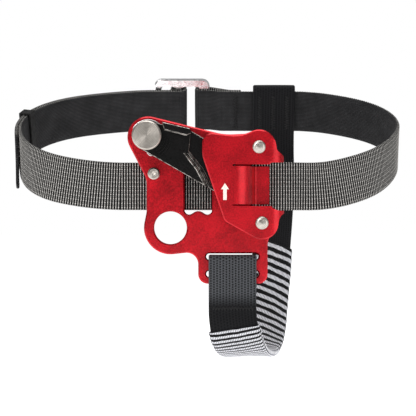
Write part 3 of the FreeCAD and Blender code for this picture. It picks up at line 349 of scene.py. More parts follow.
def flat_section(wide, thick, columns, corner=3):
    """A flat band's section with rounded selvages, run so that its outside is on the right."""
    half, radius = wide / 2, thick / 2
    straight = half - radius
    bottom = [(x, -radius) for x in np.linspace(-straight, straight, columns)]
    turn = [math.pi * (i / corner - 0.5) for i in range(1, corner)]
    right = [(straight + radius * math.cos(a), radius * math.sin(a)) for a in turn]
    top = [(-x, -y) for x, y in bottom]
    left = [(-x, -y) for x, y in right]
    return bottom + right + top + left


def closed_ends(mesh):
    """Caps the tube's two open ends and turns every face outwards."""
    edges = [edge for edge in mesh.edges if edge.is_boundary]
    bmesh.ops.holes_fill(mesh, edges=edges)
    bmesh.ops.recalc_face_normals(mesh, faces=mesh.faces)


def put(name, data):
    """An object at the origin, in the scene."""
    made = bpy.data.objects.new(name, data)
    bpy.context.scene.collection.objects.link(made)
    return made


def from_mesh(name, mesh, *materials):
    """An object made of a finished mesh, which is then let go."""
    data = bpy.data.meshes.new(name)
    mesh.to_mesh(data)
    mesh.free()
    for material in materials:
        data.materials.append(material)
    return put(name, data)


def as_piece(name, mesh, *materials, body=CLAMP):
    """A piece of the object made of a finished mesh."""
    piece = from_mesh(name, mesh, *materials)
    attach(piece, body)
    return piece


# ------------------------------------------------------------------ materials


def linear(hex_colour):
    """An sRGB hex colour as the linear values that the shaders take."""
    values = [int(hex_colour[i : i + 2], 16) / 255 for i in (1, 3, 5)]
    return [v / 12.92 if v <= 0.04045 else ((v + 0.055) / 1.055) ** 2.4 for v in values] + [1.0]


def add(tree, kind, links=None, stops=None, **settings):
    """Adds one node: its settings by name, its sockets by number or name, and any colour stops.

    A socket takes a number, an sRGB colour, an output to link from, or a node, for its first output.
    """
    made = tree.nodes.new("ShaderNode" + kind)
    for key, value in settings.items():
        setattr(made, key, value)
    for key, value in (links or {}).items():
        if isinstance(value, bpy.types.Node):
            value = value.outputs[0]
        if isinstance(value, bpy.types.NodeSocket):
            tree.links.new(value, made.inputs[key])
        elif isinstance(value, str):
            made.inputs[key].default_value = linear(value)
        else:
            made.inputs[key].default_value = value
    if stops:
        ramp = made.color_ramp
        for at, _ in stops[2:]:
            ramp.elements.new(at)
        for element, (at, colour) in zip(ramp.elements, sorted(stops)):
            element.position = at
            element.color = linear(colour)
    return made


def new_material(name):
    """A material with no nodes yet, and its tree."""
    material = bpy.data.materials.new(name)
    material.use_nodes = True
    material.node_tree.nodes.clear()
    return material, material.node_tree


def steps_along(tree, source, pitch, sharp=1.0):
    """A smooth 0 to 1 wave with the given pitch, in the units of its source."""
    turn = add(tree, "Math", {0: source, 1: 2 * math.pi / pitch}, operation="MULTIPLY")
    wave = add(tree, "Math", {0: turn}, operation="COSINE")
    lift = add(tree, "MapRange", {0: wave, 1: -1.0, 2: 1.0, 3: 0.0, 4: 1.0})
    if sharp == 1.0:
        return lift
    return add(tree, "Math", {0: lift, 1: sharp}, operation="POWER")


def surface_millimetres(tree):
    """Millimetres along and across the webbing, and both at once, from the piece's own UV map."""
    source = add(tree, "UVMap", uv_map="along_across")
    scaled = add(tree, "VectorMath", {0: source, 3: UV_UNIT}, operation="SCALE")
    parts = add(tree, "SeparateXYZ", {0: scaled})
    return parts.outputs[0], parts.outputs[1], scaled


def place_millimetres(tree, centre=(0, 0, 0)):
    """The place on the object in millimetres, measured from a centre given in millimetres."""
    source = add(tree, "TexCoord")
    scaled = add(tree, "VectorMath", {0: source.outputs["Object"], 3: 1 / MM}, operation="SCALE")
    return add(tree, "VectorMath", {0: scaled, 1: centre}, operation="SUBTRACT")


# A noise node's scale is one over the size of its grains, which is in millimetres throughout.


def anodised_plate():
    """Dyed anodised aluminium over a fine blasted surface: satin, deep red, with pale bevels."""
    material, tree = new_material("dyed_anodised_aluminium")
    at = place_millimetres(tree)
    # The blasted grain is under 0.1 mm, too fine to show, so it is drawn at 0.8 mm.
    grain = add(tree, "TexNoise", {"Vector": at, "Scale": 1 / 0.8})
    cloud = add(tree, "TexNoise", {"Vector": at, "Scale": 1 / 14.0})
    share = add(tree, "Math", {0: grain, 1: 0.45}, operation="MULTIPLY")
    mixed = add(tree, "Math", {0: cloud, 1: 0.55, 2: share}, operation="MULTIPLY_ADD")
    tone = add(tree, "ValToRGB", {0: mixed}, stops=[(0.38, "#9A0010"), (0.62, "#C80A1D")])
    satin = add(tree, "MapRange", {0: grain, 1: 0.3, 2: 0.7, 3: 0.30, 4: 0.44})
    relief = add(tree, "Bump", {"Distance": 0.05 * MM, "Height": grain})
    finish = {
        "Base Color": tone, "Metallic": 0.85, "Roughness": satin, "Normal": relief,
        "Coat Weight": 0.3, "Coat Roughness": 0.2,
    }
    add(tree, "OutputMaterial", {"Surface": add(tree, "BsdfPrincipled", finish)})
    return material


def turned_steel(name, centre):
    """Lathe-turned steel: bright, with rings about its own axis that spread light into two fans."""
    material, tree = new_material(name)
    parts = add(tree, "SeparateXYZ", {0: place_millimetres(tree, centre)})
    flat = add(tree, "CombineXYZ", {0: parts.outputs[0], 2: parts.outputs[2]})
    radius = add(tree, "VectorMath", {0: flat}, operation="LENGTH").outputs["Value"]
    # The tool runs round the axis, so the grain's direction is across the radius.
    round_way = add(tree, "VectorMath", {0: flat, 1: (0, 1, 0)}, operation="CROSS_PRODUCT")
    grain_way = add(tree, "VectorMath", {0: round_way}, operation="NORMALIZE")
    # Tool marks are 0.1 mm apart, drawn at 0.7 mm so that they show.
    rings = steps_along(tree, radius, 0.7)
    uneven = add(tree, "TexNoise", {"Vector": flat, "Scale": 1 / 2.5})
    share = add(tree, "Math", {0: rings, 1: 0.4}, operation="MULTIPLY")
    mixed = add(tree, "Math", {0: uneven, 1: 0.6, 2: share}, operation="MULTIPLY_ADD")
    tone = add(tree, "ValToRGB", {0: mixed}, stops=[(0.2, "#958E86"), (0.8, "#C6C0B8")])
    relief = add(tree, "Bump", {"Distance": 0.012 * MM, "Height": rings})
    finish = {
        "Base Color": tone, "Metallic": 1.0, "Roughness": 0.34, "Normal": relief,
        "Anisotropic": 0.8, "Tangent": grain_way,
    }
    add(tree, "OutputMaterial", {"Surface": add(tree, "BsdfPrincipled", finish)})
    return material


def drawn_wire():
    """Drawn spring wire: grey and bright, with faint die lines."""
    material, tree = new_material("drawn_spring_wire")
    grain = add(tree, "TexNoise", {"Vector": place_millimetres(tree), "Scale": 1 / 0.8})
    tone = add(tree, "ValToRGB", {0: grain}, stops=[(0.3, "#A7A5A6"), (0.7, "#D2CFCE")])
    relief = add(tree, "Bump", {"Distance": 0.02 * MM, "Height": grain})
    finish = {"Base Color": tone, "Metallic": 1.0, "Roughness": 0.28, "Normal": relief}
    add(tree, "OutputMaterial", {"Surface": add(tree, "BsdfPrincipled", finish)})
    return material


def oiled_bronze():
    """Sintered bronze: brown gold with dark oil-filled pores."""
    material, tree = new_material("sintered_bronze")
    pores = add(tree, "TexNoise", {"Vector": place_millimetres(tree), "Scale": 1 / 0.5, "Detail": 4.0})
    tone = add(tree, "ValToRGB", {0: pores}, stops=[(0.35, "#4A331C"), (0.55, "#A9824E")])
    relief = add(tree, "Bump", {"Distance": 0.04 * MM, "Height": pores})
    finish = {"Base Color": tone, "Metallic": 1.0, "Roughness": 0.42, "Normal": relief}
    add(tree, "OutputMaterial", {"Surface": add(tree, "BsdfPrincipled", finish)})
    return material


def phosphated_cam():
    """Cast steel, phosphated and lacquered: near black, with a slow shine over its cast skin."""
    material, tree = new_material("phosphated_cast_steel")
    at = place_millimetres(tree)
    skin = add(tree, "TexNoise", {"Vector": at, "Scale": 1 / 0.9, "Detail": 3.0})
    cloud = add(tree, "TexNoise", {"Vector": at, "Scale": 1 / 7.0})
    tone = add(tree, "ValToRGB", {0: cloud}, stops=[(0.3, "#020202"), (0.75, "#0A0808")])
    shine = add(tree, "MapRange", {0: skin, 1: 0.3, 2: 0.7, 3: 0.26, 4: 0.42})
    relief = add(tree, "Bump", {"Distance": 0.07 * MM, "Height": skin})
    finish = {"Base Color": tone, "Roughness": shine, "Specular IOR Level": 0.16, "Normal": relief}
    add(tree, "OutputMaterial", {"Surface": add(tree, "BsdfPrincipled", finish)})
    return material


def painted_highlight_edge():
    """The cam's broken edges in pale grey steel: a painted highlight along them."""
    material, tree = new_material("painted_highlight_edge_steel")
    edge_glint = add(tree, "TexNoise", {"Vector": place_millimetres(tree), "Scale": 1 / 2.2, "Detail": 4.0})
    # The pale grey here is painted highlight on the edges.
    tone = add(tree, "ValToRGB", {0: edge_glint}, stops=[(0.36, "#3A3735"), (0.6, "#B5AFA9")])
    relief = add(tree, "Bump", {"Distance": 0.03 * MM, "Height": edge_glint})
    finish = {"Base Color": tone, "Metallic": 0.8, "Roughness": 0.32, "Normal": relief}
    add(tree, "OutputMaterial", {"Surface": add(tree, "BsdfPrincipled", finish)})
    return material


def tumbled_buckle():
    """Stamped steel, tumbled and nickel plated: bright, with soft dents and fine scratches."""
    material, tree = new_material("nickel_plated_steel")
    at = place_millimetres(tree)
    dents = add(tree, "TexNoise", {"Vector": at, "Scale": 1 / 3.0})
    # Scratches run along the strap, about seven times as long as they are wide.
    long_way = add(tree, "Mapping", {"Vector": at, "Scale": (0.15, 1.0, 1.0)})
    scratches = add(tree, "TexNoise", {"Vector": long_way, "Scale": 1 / 0.35, "Detail": 3.0})
    tone = add(tree, "ValToRGB", {0: dents}, stops=[(0.3, "#E2E2E4"), (0.7, "#FAFAFA")])
    rough = add(tree, "MapRange", {0: scratches, 1: 0.35, 2: 0.7, 3: 0.14, 4: 0.34})
    height = add(tree, "Math", {0: scratches, 1: 0.3, 2: dents}, operation="MULTIPLY_ADD")
    relief = add(tree, "Bump", {"Distance": 0.05 * MM, "Height": height})
    finish = {"Base Color": tone, "Metallic": 1.0, "Roughness": rough, "Normal": relief}
    add(tree, "OutputMaterial", {"Surface": add(tree, "BsdfPrincipled", finish)})
    return material


def moulded_rubber():
    """Moulded rubber: matt black with a dusty bloom."""
    material, tree = new_material("moulded_rubber")
    bloom = add(tree, "TexNoise", {"Vector": place_millimetres(tree), "Scale": 1 / 1.6, "Detail": 4.0})
    tone = add(tree, "ValToRGB", {0: bloom}, stops=[(0.3, "#141414"), (0.75, "#2A2A2A")])
    relief = add(tree, "Bump", {"Distance": 0.05 * MM, "Height": bloom})
    finish = {"Base Color": tone, "Roughness": 0.72, "Specular IOR Level": 0.15, "Normal": relief}
    add(tree, "OutputMaterial", {"Surface": add(tree, "BsdfPrincipled", finish)})
    return material


RIB = 1.4  # from one transverse rib of the ankle webbing to the next
COLUMN = 1.1  # from one warp column to the next


def ribbed_webbing():
    """Woven polyester, its outer face: heavy cross ribs, with a painted highlight on the warp floats as rows
    of pale dots.
    """
    material, tree = new_material("ribbed_polyester_webbing")
    along, across, both = surface_millimetres(tree)
    rib = steps_along(tree, along, RIB, 1.3)
    column = steps_along(tree, across, COLUMN, 0.8)
    wide_column = steps_along(tree, across, COLUMN * 2)
    yarn = add(tree, "TexNoise", {"Vector": both, "Scale": 1 / 0.45})
    fine_dots = add(tree, "Math", {0: column, 1: 0.22, 2: 0.60}, operation="MULTIPLY_ADD")
    dots = add(tree, "Math", {0: wide_column, 1: 0.18, 2: fine_dots}, operation="MULTIPLY_ADD")
    floats = add(tree, "Math", {0: rib, 1: dots}, operation="MULTIPLY")
    fuzz = add(tree, "Math", {0: yarn, 1: 0.55, 2: -0.34}, operation="MULTIPLY_ADD")
    # The pale end of the greys is painted highlight on the floats, roughened by the yarn noise.
    painted_float_highlight = add(tree, "Math", {0: floats, 1: fuzz}, operation="ADD")
    greys = [(0.1, "#050505"), (0.36, "#1E1E1E"), (0.6, "#84827F"), (0.9, "#D6D3CE")]
    tone = add(tree, "ValToRGB", {0: painted_float_highlight}, stops=greys)
    height = add(tree, "Math", {0: yarn, 1: 0.2, 2: floats}, operation="MULTIPLY_ADD")
    relief = add(tree, "Bump", {"Distance": 0.2 * MM, "Height": height})
    finish = {
        "Base Color": tone, "Roughness": 0.6, "Specular IOR Level": 0.12, "Normal": relief,
        "Sheen Weight": 0.03,
    }
    add(tree, "OutputMaterial", {"Surface": add(tree, "BsdfPrincipled", finish)})
    return material


def lined_webbing():
    """The same webbing's inner face: a finer grid of short floats, dark grey and flat."""
    material, tree = new_material("flat_polyester_webbing")
    along, across, both = surface_millimetres(tree)
    # The pick spacing is half the outer face's rib.
    picks = steps_along(tree, along, RIB / 2)
    ends = steps_along(tree, across, COLUMN / 1.3)
    grid = add(tree, "Math", {0: picks, 1: ends}, operation="MULTIPLY")
    yarn = add(tree, "TexNoise", {"Vector": both, "Scale": 1 / 0.6})
    cloud = add(tree, "TexNoise", {"Vector": both, "Scale": 1 / 9.0})
    fuzz = add(tree, "Math", {0: yarn, 1: 0.3, 2: -0.05}, operation="MULTIPLY_ADD")
    patchy = add(tree, "Math", {0: cloud, 1: 0.3, 2: fuzz}, operation="MULTIPLY_ADD")
    mixed = add(tree, "Math", {0: grid, 1: 0.5, 2: patchy}, operation="MULTIPLY_ADD")
    tone = add(tree, "ValToRGB", {0: mixed}, stops=[(0.15, "#121213"), (0.5, "#2A2A2B"), (0.9, "#545456")])
    relief = add(tree, "Bump", {"Distance": 0.12 * MM, "Height": grid})
    finish = {
        "Base Color": tone, "Roughness": 0.75, "Specular IOR Level": 0.1, "Normal": relief,
        "Sheen Weight": 0.03,
    }
    add(tree, "OutputMaterial", {"Surface": add(tree, "BsdfPrincipled", finish)})
    return material


DASH, DASH_ROW = 1.3, 1.6  # from one dash of the foot webbing to the next, along and across


def dashed_webbing():
    """Woven polyamide: grey, with rows of short dark floats; black from under the boot round to the back.
    The back is dyed black; the low part is partly dye and partly painted shade.
    """
    material, tree = new_material("flat_polyamide_webbing")
    along, across, both = surface_millimetres(tree)
    row = steps_along(tree, across, DASH_ROW, 1.6)
    # Every second row of dashes is half a step along from its neighbours.
    second = steps_along(tree, across, 2 * DASH_ROW)
    skewed = add(tree, "Math", {0: second, 1: DASH / 2, 2: along}, operation="MULTIPLY_ADD")
    dash = steps_along(tree, skewed, DASH)
    yarn = add(tree, "TexNoise", {"Vector": both, "Scale": 1 / 0.45})
    dashes = add(tree, "Math", {0: row, 1: dash}, operation="MULTIPLY")
    fuzz = add(tree, "Math", {0: yarn, 1: 0.6}, operation="MULTIPLY")
    floats = add(tree, "Math", {0: dashes, 1: 0.7, 2: fuzz}, operation="MULTIPLY_ADD")
    grey = add(tree, "ValToRGB", {0: floats}, stops=[(0.2, "#505256"), (0.5, "#2A2B2D"), (0.85, "#070708")])
    black = add(tree, "ValToRGB", {0: floats}, stops=[(0.2, "#1C1C1E"), (0.5, "#0D0D0F"), (0.85, "#030304")])
    place = add(tree, "SeparateXYZ", {0: place_millimetres(tree)})
    ragged = add(tree, "Math", {0: yarn, 1: 5.0, 2: place.outputs[2]}, operation="MULTIPLY_ADD")
    # The grey length is the front one, above the lower stitches. Below it the strap turns black, partly dye
    # and partly painted shade where it curves under the boot; behind, it is dyed black.
    low = add(tree, "MapRange", {0: ragged, 1: -38.0, 2: -31.0, 3: 1.0, 4: 0.0})
    behind = add(tree, "MapRange", {0: place.outputs[1], 1: 6.0, 2: 20.0, 3: 0.0, 4: 1.0})
    black_dye_and_painted_shade = add(tree, "Math", {0: low, 1: behind}, operation="MAXIMUM")
    tone = add(tree, "Mix", {0: black_dye_and_painted_shade, 6: grey, 7: black}, data_type="RGBA").outputs[2]
    knap = add(tree, "Math", {0: yarn, 1: 0.4}, operation="MULTIPLY")
    height = add(tree, "Math", {0: dashes, 1: -0.6, 2: knap}, operation="MULTIPLY_ADD")
    relief = add(tree, "Bump", {"Distance": 0.14 * MM, "Height": height})
    finish = {
        "Base Color": tone, "Roughness": 0.65, "Specular IOR Level": 0.1, "Normal": relief,
        "Sheen Weight": 0.03,
    }
    add(tree, "OutputMaterial", {"Surface": add(tree, "BsdfPrincipled", finish)})
    return material


SLEEVE_BAND = 4.75  # from one dark band of the sleeve to the next
SLEEVE_BOW = 0.006  # how fast a band bows towards the sleeve's edges, per millimetre
GATHERED = 42.0  # length under the boot where the bands are drawn closer together
CLOSER = 1.0  # how many more bands there are for each one there


def striped_sleeve():
    """Tubular polyester: pale bands of fine lengthwise threads between narrow black bands."""
    material, tree = new_material("banded_tubular_polyester")
    along, across, both = surface_millimetres(tree)
    squared = add(tree, "Math", {0: across, 1: across}, operation="MULTIPLY")
    yarn = add(tree, "TexNoise", {"Vector": both, "Scale": 1 / 0.5})
    wander = add(tree, "TexNoise", {"Vector": both, "Scale": 1 / 6.0})
    drawn_in = add(tree, "Math", {0: along, 1: GATHERED}, operation="MINIMUM")
    closer = add(tree, "Math", {0: drawn_in, 1: CLOSER, 2: along}, operation="MULTIPLY_ADD")
    bowed = add(tree, "Math", {0: squared, 1: SLEEVE_BOW, 2: closer}, operation="MULTIPLY_ADD")
    frayed = add(tree, "Math", {0: yarn, 1: 0.9, 2: bowed}, operation="MULTIPLY_ADD")
    place = add(tree, "Math", {0: wander, 1: 1.6, 2: frayed}, operation="MULTIPLY_ADD")
    band = steps_along(tree, place, SLEEVE_BAND)
    thread = steps_along(tree, across, 0.9)
    dark = add(tree, "MapRange", {0: band, 1: 0.36, 2: 0.48, 3: 0.0, 4: 1.0})
    fuzz = add(tree, "Math", {0: yarn, 1: 0.55}, operation="MULTIPLY")
    threads = add(tree, "Math", {0: thread, 1: 0.45, 2: fuzz}, operation="MULTIPLY_ADD")
    pales = [(0.25, "#5D5E64"), (0.45, "#B4B5BC"), (0.75, "#F0F0F4")]
    pale = add(tree, "ValToRGB", {0: threads}, stops=pales)
    tone = add(tree, "Mix", {0: dark, 6: pale, 7: "#070708"}, data_type="RGBA").outputs[2]
    knap = add(tree, "Math", {0: yarn, 1: 0.3}, operation="MULTIPLY")
    ridge = add(tree, "Math", {0: thread, 1: 0.5, 2: knap}, operation="MULTIPLY_ADD")
    height = add(tree, "Math", {0: band, 1: -0.7, 2: ridge}, operation="MULTIPLY_ADD")
    relief = add(tree, "Bump", {"Distance": 0.16 * MM, "Height": height})
    finish = {
        "Base Color": tone, "Roughness": 0.65, "Specular IOR Level": 0.12, "Normal": relief,
        "Sheen Weight": 0.04,
    }
    add(tree, "OutputMaterial", {"Surface": add(tree, "BsdfPrincipled", finish)})
    return material


def sewing_thread():
    """Bonded polyester thread: black, twisted, with a slight shine."""
    material, tree = new_material("bonded_thread")
    twist = add(tree, "TexNoise", {"Vector": place_millimetres(tree), "Scale": 1 / 0.4})
    tone = add(tree, "ValToRGB", {0: twist}, stops=[(0.3, "#0C0C0D"), (0.7, "#2B2B2C")])
    relief = add(tree, "Bump", {"Distance": 0.08 * MM, "Height": twist})
    finish = {"Base Color": tone, "Roughness": 0.5, "Specular IOR Level": 0.2, "Normal": relief}
    add(tree, "OutputMaterial", {"Surface": add(tree, "BsdfPrincipled", finish)})
    return material


def pale_print():
    """Pad print: a thin layer of warm white ink, slightly uneven over the blasted metal."""
    material, tree = new_material("pad_printed_ink")
    cover = add(tree, "TexNoise", {"Vector": place_millimetres(tree), "Scale": 1 / 0.5})
    tone = add(tree, "ValToRGB", {0: cover}, stops=[(0.3, "#DDBFB6"), (0.6, "#F2E4DC")])
    relief = add(tree, "Bump", {"Distance": 0.02 * MM, "Height": cover})
    finish = {"Base Color": tone, "Roughness": 0.55, "Normal": relief}
    add(tree, "OutputMaterial", {"Surface": add(tree, "BsdfPrincipled", finish)})
    return material


def matt_paper():
    """Seamless studio paper: matt, very pale, with a faint tooth."""
    material, tree = new_material("seamless_paper")
    tooth = add(tree, "TexNoise", {"Vector": place_millimetres(tree), "Scale": 1 / 2.0})
    relief = add(tree, "Bump", {"Distance": 0.02 * MM, "Height": tooth})
    finish = {
        "Base Color": "#FFFFFF", "Roughness": 0.9, "Normal": relief,
        "Emission Color": "#FFFFFF", "Emission Strength": 0.75,
    }
    add(tree, "OutputMaterial", {"Surface": add(tree, "BsdfPrincipled", finish)})
    return material


# ------------------------------------------------------------------ metal and moulded pieces of the frame

PIVOT = (-11.7, 0, 47.2)
STOP = (-8.3, 0, 28.0)
UPPER_RIVET = (45.4, 0, 41.3)
LOWER_RIVET = (46.9, 0, 2.7)
pivot_steel = turned_steel("turned_pivot_steel", PIVOT)
upper_steel = turned_steel("turned_upper_rivet_steel", UPPER_RIVET)
lower_steel = turned_steel("turned_lower_rivet_steel", LOWER_RIVET)
red_plate = anodised_plate()
FINISHES = {
    "frame_plate": red_plate,
    "cover_plate": red_plate,
    "upper_rivet": upper_steel,
    "upper_spacer": upper_steel,
    "lower_rivet": lower_steel,
    "lower_spacer": lower_steel,
    "cam_axle": pivot_steel,
    "front_washer": pivot_steel,
    "rear_washer": pivot_steel,
    "stop_pin": turned_steel("turned_stop_steel", STOP),
    "cam_bush": oiled_bronze(),
    "cam_spring": drawn_wire(),
    "buckle_frame": tumbled_buckle(),
    "tail_keeper": moulded_rubber(),
}
for node_name, finish in FINISHES.items():
    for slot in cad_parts[node_name].material_slots:
        slot.material = finish

CAM_EDGE = 0.22  # width taken off a cast edge
SHARP, FLAT = math.radians(28), math.radians(1)
SHORTEST_BROKEN = 1.6  # edges shorter than this are the teeth's, and stay crisp
WELD = 2e-6  # in metres: loose triangle corners nearer than this are one


def softened_cam():
    """The cam with its cast edges broken, and the broken edges in a paler finish of their own, a painted
    highlight.
    """
    mesh = bmesh.new()
    mesh.from_mesh(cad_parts["cam"].data)
    bmesh.ops.remove_doubles(mesh, verts=mesh.verts, dist=WELD)
    bmesh.ops.dissolve_limit(mesh, angle_limit=FLAT, verts=mesh.verts, edges=mesh.edges)
    for face in mesh.faces:
        face.material_index = 0
        face.smooth = False
    sharp = [e for e in mesh.edges if len(e.link_faces) == 2 and e.calc_face_angle(0) > SHARP]
    outer = [e for e in sharp if e.calc_length() > SHORTEST_BROKEN * MM]
    made = bmesh.ops.bevel(
        mesh, geom=outer, offset=CAM_EDGE * MM, segments=1, profile=0.5, affect="EDGES",
        clamp_overlap=False, material=1,
    )
    for face in made["faces"]:
        face.material_index = 1
    piece = as_piece("cam_body", mesh, phosphated_cam(), painted_highlight_edge(), body="cam_group")
    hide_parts("cam")


softened_cam()

# ------------------------------------------------------------------ webbing

STRAP_WAVE, WAVE_ALONG, WAVE_ACROSS = 0.07, 31, 9
RIB_OUTSIDE, RIB_INSIDE = 0.14, 0.05
RIB_ROOM = 0.3  # thickness left to the ribs of the ankle webbing


def ankle_relief(along, side, out):
    """Heavy ribs on the face away from the ankle, fine ones on the face to it, and a slow waviness."""
    slow = STRAP_WAVE * math.sin(along / WAVE_ALONG + side / WAVE_ACROSS)
    if out > 0:
        return slow + RIB_INSIDE * math.cos(2 * math.pi * along * 2 / RIB)
    return slow + RIB_OUTSIDE * math.cos(2 * math.pi * along / RIB)


# The tail's slanted cut: how far back from the end it crosses the middle, its slope, and the length in play.
CUT_BACK, CUT_SLOPE, CUT_WITHIN = 7.0, 0.62, 20.0


def cut_tail(mesh, line):
    """Cuts the free end at a slant, so that its lower corner is the longer one."""
    tip, before = Vector(line[-1, :3] * MM), Vector(line[-30, :3] * MM)
    tangent = (tip - before).normalized()
    slant = (tangent + Vector(line[-1, 3:]).normalized() * CUT_SLOPE).normalized()
    uv_layer = mesh.loops.layers.uv.active
    reached = {v: max(loop[uv_layer].uv.x for loop in v.link_loops) for v in mesh.verts}
    begins = max(reached.values()) - CUT_WITHIN / UV_UNIT
    last = {v for v in mesh.verts if reached[v] > begins}
    edges = [e for e in mesh.edges if last.issuperset(e.verts)]
    faces = [f for f in mesh.faces if last.issuperset(f.verts)]
    bmesh.ops.bisect_plane(
        mesh, geom=[v for v in mesh.verts if v in last] + edges + faces,
        plane_co=tip - tangent * CUT_BACK * MM, plane_no=slant, clear_outer=True,
    )


FOOT_WAVE, FOOT_WAVE_ALONG, FOOT_WAVE_ACROSS = 0.05, 17, 6
DASH_DEEP = 0.03
DASH_ROOM = 0.1  # thickness left to the dashes of the foot webbing


def foot_relief(along, side, out):
    """Fine picks on both faces, and a slow waviness."""
    slow = FOOT_WAVE * math.sin(along / FOOT_WAVE_ALONG + side / FOOT_WAVE_ACROSS)
    return slow + DASH_DEEP * math.cos(2 * math.pi * along / DASH)


SECTION_COLUMNS = 9  # points across a webbing's flat face
strap_line = ankle_line()
band = flat_section(WEB_WIDE, WEB_THICK - RIB_ROOM, SECTION_COLUMNS)
strap_mesh = sweep(strap_line, band, RIB / 6, ankle_relief)
cut_tail(strap_mesh, strap_line)
closed_ends(strap_mesh)
ankle_webbing = as_piece("ankle_webbing", strap_mesh, ribbed_webbing(), lined_webbing())
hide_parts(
    "ankle_strap_front", "ankle_strap_left", "ankle_strap_right", "ankle_strap_joint",
    "ankle_strap_buckle_pass", "buckle_anchor_fold", "ankle_strap_tail",
)

band = flat_section(WEB_WIDE, WEB_THICK - DASH_ROOM, SECTION_COLUMNS)
strap_mesh = sweep(foot_line(), band, DASH / 2, foot_relief)
closed_ends(strap_mesh)
foot_webbing = as_piece("foot_webbing", strap_mesh, dashed_webbing())
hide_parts("foot_strap_anchor", "foot_strap", "heel_strap_fold")

# Shares of the foot strap's run that the sleeve covers, and the sleeve's section and wall.
SLEEVE_FROM, SLEEVE_TO = 1.6 / 40, 25 / 40
SLEEVE_WIDE, SLEEVE_THICK, SLEEVE_WALL = 27.0, 4.2, 0.75
BAND_PROUD = 0.12
RUCK, RUCK_SHORT, RUCK_LONG, RUCK_ACROSS = 0.22, 7.5, 19, 5
run = foot_run()
covered = run[int(SLEEVE_FROM * (len(run) - 1)) : int(SLEEVE_TO * (len(run) - 1)) + 1]


def sleeve_relief(along, side, out):
    """Bands stand up between the dark ones, and the tube rucks up a little."""
    place = along + min(along, GATHERED) * CLOSER + SLEEVE_BOW * side * side
    proud = -BAND_PROUD * math.cos(2 * math.pi * place / SLEEVE_BAND)
    ruck = RUCK * math.sin(along / RUCK_SHORT + side / RUCK_ACROSS) * math.sin(along / RUCK_LONG)
    return proud + max(ruck, -BAND_PROUD)


tube = flat_section(SLEEVE_WIDE, SLEEVE_THICK, SECTION_COLUMNS, corner=6)
sleeve_mesh = sweep(covered, tube, 0.5, sleeve_relief)
bmesh.ops.recalc_face_normals(sleeve_mesh, faces=sleeve_mesh.faces)
for face in sleeve_mesh.faces:
    face.material_index = 0
abrasion_sleeve = as_piece("abrasion_sleeve", sleeve_mesh, striped_sleeve())
wall = abrasion_sleeve.modifiers.new("tube_wall", "SOLIDIFY")
wall.thickness = SLEEVE_WALL * MM
wall.offset = -1
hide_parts("foot_sleeve")

# ------------------------------------------------------------------ sewing

THREAD = 0.34  # thread radius
CROSSINGS = 26  # of each bar
SWING = 0.49  # how far the thread goes to each side, as a share of the bar's width
SUNK, PROUD = 0.2, 0.12  # how far in the thread lies at the bar's sides, and how far out between them


def sewn_bar(name, middle, long_way, wide_way, out_way, long=20.4, wide=2.6):
    """A bar tack: one thread in a close zigzag, with its two ends sunk in the webbing."""
    middle, long_way, wide_way, out_way = (np.array(v, float) for v in (middle, long_way, wide_way, out_way))
    points = []
    for i in range(CROSSINGS + 1):
        at = (i / CROSSINGS - 0.5) * long
        side = (SWING if i % 2 else -SWING) * wide
        points.append(middle + long_way * at + wide_way * side - out_way * SUNK)
        points.append(middle + long_way * (at + long / CROSSINGS / 2) + out_way * PROUD)
    curve = bpy.data.curves.new(name, "CURVE")
    curve.dimensions = "3D"
    curve.bevel_depth = THREAD * MM
    curve.bevel_resolution = 1
    spline = curve.splines.new("POLY")
    spline.points.add(len(points) - 1)
    for knot, point in zip(spline.points, points):
        knot.co = (*(point * MM), 1.0)
    drawn = put(name + "_route", curve)
    mesh = bmesh.new()
    tube = bpy.data.meshes.new_from_object(drawn.evaluated_get(bpy.context.evaluated_depsgraph_get()))
    mesh.from_mesh(tube)
    bpy.data.objects.remove(drawn)
    closed_ends(mesh)
    for face in mesh.faces:
        face.smooth = True
    piece = as_piece(name, mesh, THREAD_MATERIAL)
    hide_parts(name)


THREAD_MATERIAL = sewing_thread()
X_WAY, Z_WAY = (1, 0, 0), (0, 0, 1)
heel_face = LAYER + WEB_THICK / 2
HEEL_TACKS = {"left": 50.3, "middle": 58.3, "right": 66.4}
ANCHOR_TACK_X, FOOT_TACK_UP = 36.1, 2.5
for side_name, x in HEEL_TACKS.items():
    sewn_bar(f"heel_tack_{side_name}", back_point(x, -heel_face), BACK_ACROSS, X_WAY, -BACK_OUT)
    sewn_bar(f"heel_back_tack_{side_name}", back_point(x, heel_face), BACK_ACROSS, X_WAY, BACK_OUT)
sewn_bar("anchor_tack", back_point(ANCHOR_TACK_X, -WEB_THICK / 2), BACK_ACROSS, X_WAY, -BACK_OUT)
foot_face = STRAP_AHEAD - LAYER - WEB_THICK / 2
sewn_bar("foot_tack", (FOOT_X, foot_face, FOOT_END_Z + FOOT_TACK_UP), X_WAY, Z_WAY, (0, -1, 0), wide=1.8)

# ------------------------------------------------------------------ print

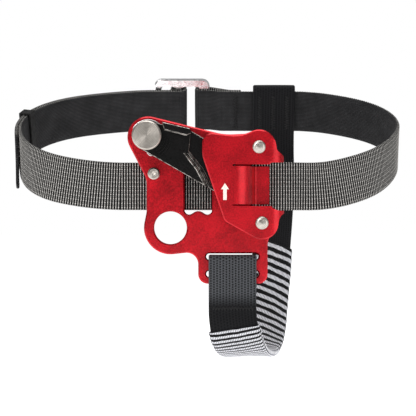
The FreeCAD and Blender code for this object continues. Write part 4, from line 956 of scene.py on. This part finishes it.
COVER_FRONT = -20.0
INK = 0.03  # how proud the print stands; its own layer is a little thinner, so it stays clear of the plate
ARROW_X = 28.1
arrow = bmesh.new()
outline = [(0.9, 14.4), (0.9, 19.8), (2.0, 19.8), (0, 22.9), (-2.0, 19.8), (-0.9, 19.8), (-0.9, 14.4)]
corners = [arrow.verts.new(Vector((ARROW_X + x, COVER_FRONT - INK, z)) * MM) for x, z in outline]
top_face = arrow.faces.new(corners)
grown = bmesh.ops.extrude_face_region(arrow, geom=[top_face])
moved = [part for part in grown["geom"] if isinstance(part, bmesh.types.BMVert)]
bmesh.ops.translate(arrow, verts=moved, vec=(0, INK * MM * 0.9, 0))
bmesh.ops.recalc_face_normals(arrow, faces=arrow.faces)
printed_arrow = as_piece("printed_arrow", arrow, pale_print())

# ------------------------------------------------------------------ studio

FLOOR_Z = cad_low[2] - 0.012
FLOOR_HALF = 4.0
LIT_BY_SKY = 0.30  # the surroundings light the object less than they show

ground = bmesh.new()
bmesh.ops.create_grid(ground, x_segments=1, y_segments=1, size=FLOOR_HALF)
bmesh.ops.translate(ground, verts=ground.verts, vec=(0, 0, FLOOR_Z))
floor = from_mesh("floor", ground, matt_paper())

world = bpy.data.worlds.new("studio")
world.use_nodes = True
world.node_tree.nodes.clear()
seen = add(world.node_tree, "Background", {"Color": "#FFFFFF", "Strength": 1.0})
lit = add(world.node_tree, "Background", {"Color": "#FFFFFF", "Strength": LIT_BY_SKY})
ray = add(world.node_tree, "LightPath")
both = add(world.node_tree, "MixShader", {0: ray.outputs["Is Camera Ray"], 1: lit, 2: seen})
add(world.node_tree, "OutputWorld", {"Surface": both})
bpy.context.scene.world = world
bpy.context.scene.view_settings.view_transform = "Standard"


def softbox(name, place, target, wide, watts):
    """A square area light aimed at a point of the object."""
    light = bpy.data.lights.new(name, "AREA")
    light.size = wide
    light.energy = watts
    lamp = put(name, light)
    lamp.location = place
    lamp.rotation_euler = (Vector(target) - Vector(place)).to_track_quat("-Z", "Y").to_euler()


MIDDLE = (0.02, 0.03, 0.01)
softbox("key_softbox", (-0.45, -0.60, 0.55), MIDDLE, 0.45, 4.6)
softbox("fill_softbox", (0.65, -0.50, 0.10), MIDDLE, 0.5, 1.5)
softbox("top_softbox", (0.05, 0.10, 0.75), MIDDLE, 0.6, 3.2)

lens = bpy.data.cameras.new("front_camera")
lens.sensor_width = 36.0
lens.lens = 124.6
lens.clip_start = 0.01
camera = put("front_camera", lens)
camera.location = (0.0195, -0.750, 0.0103)
camera.rotation_euler = (math.pi / 2, 0, 0)
bpy.context.scene.camera = camera
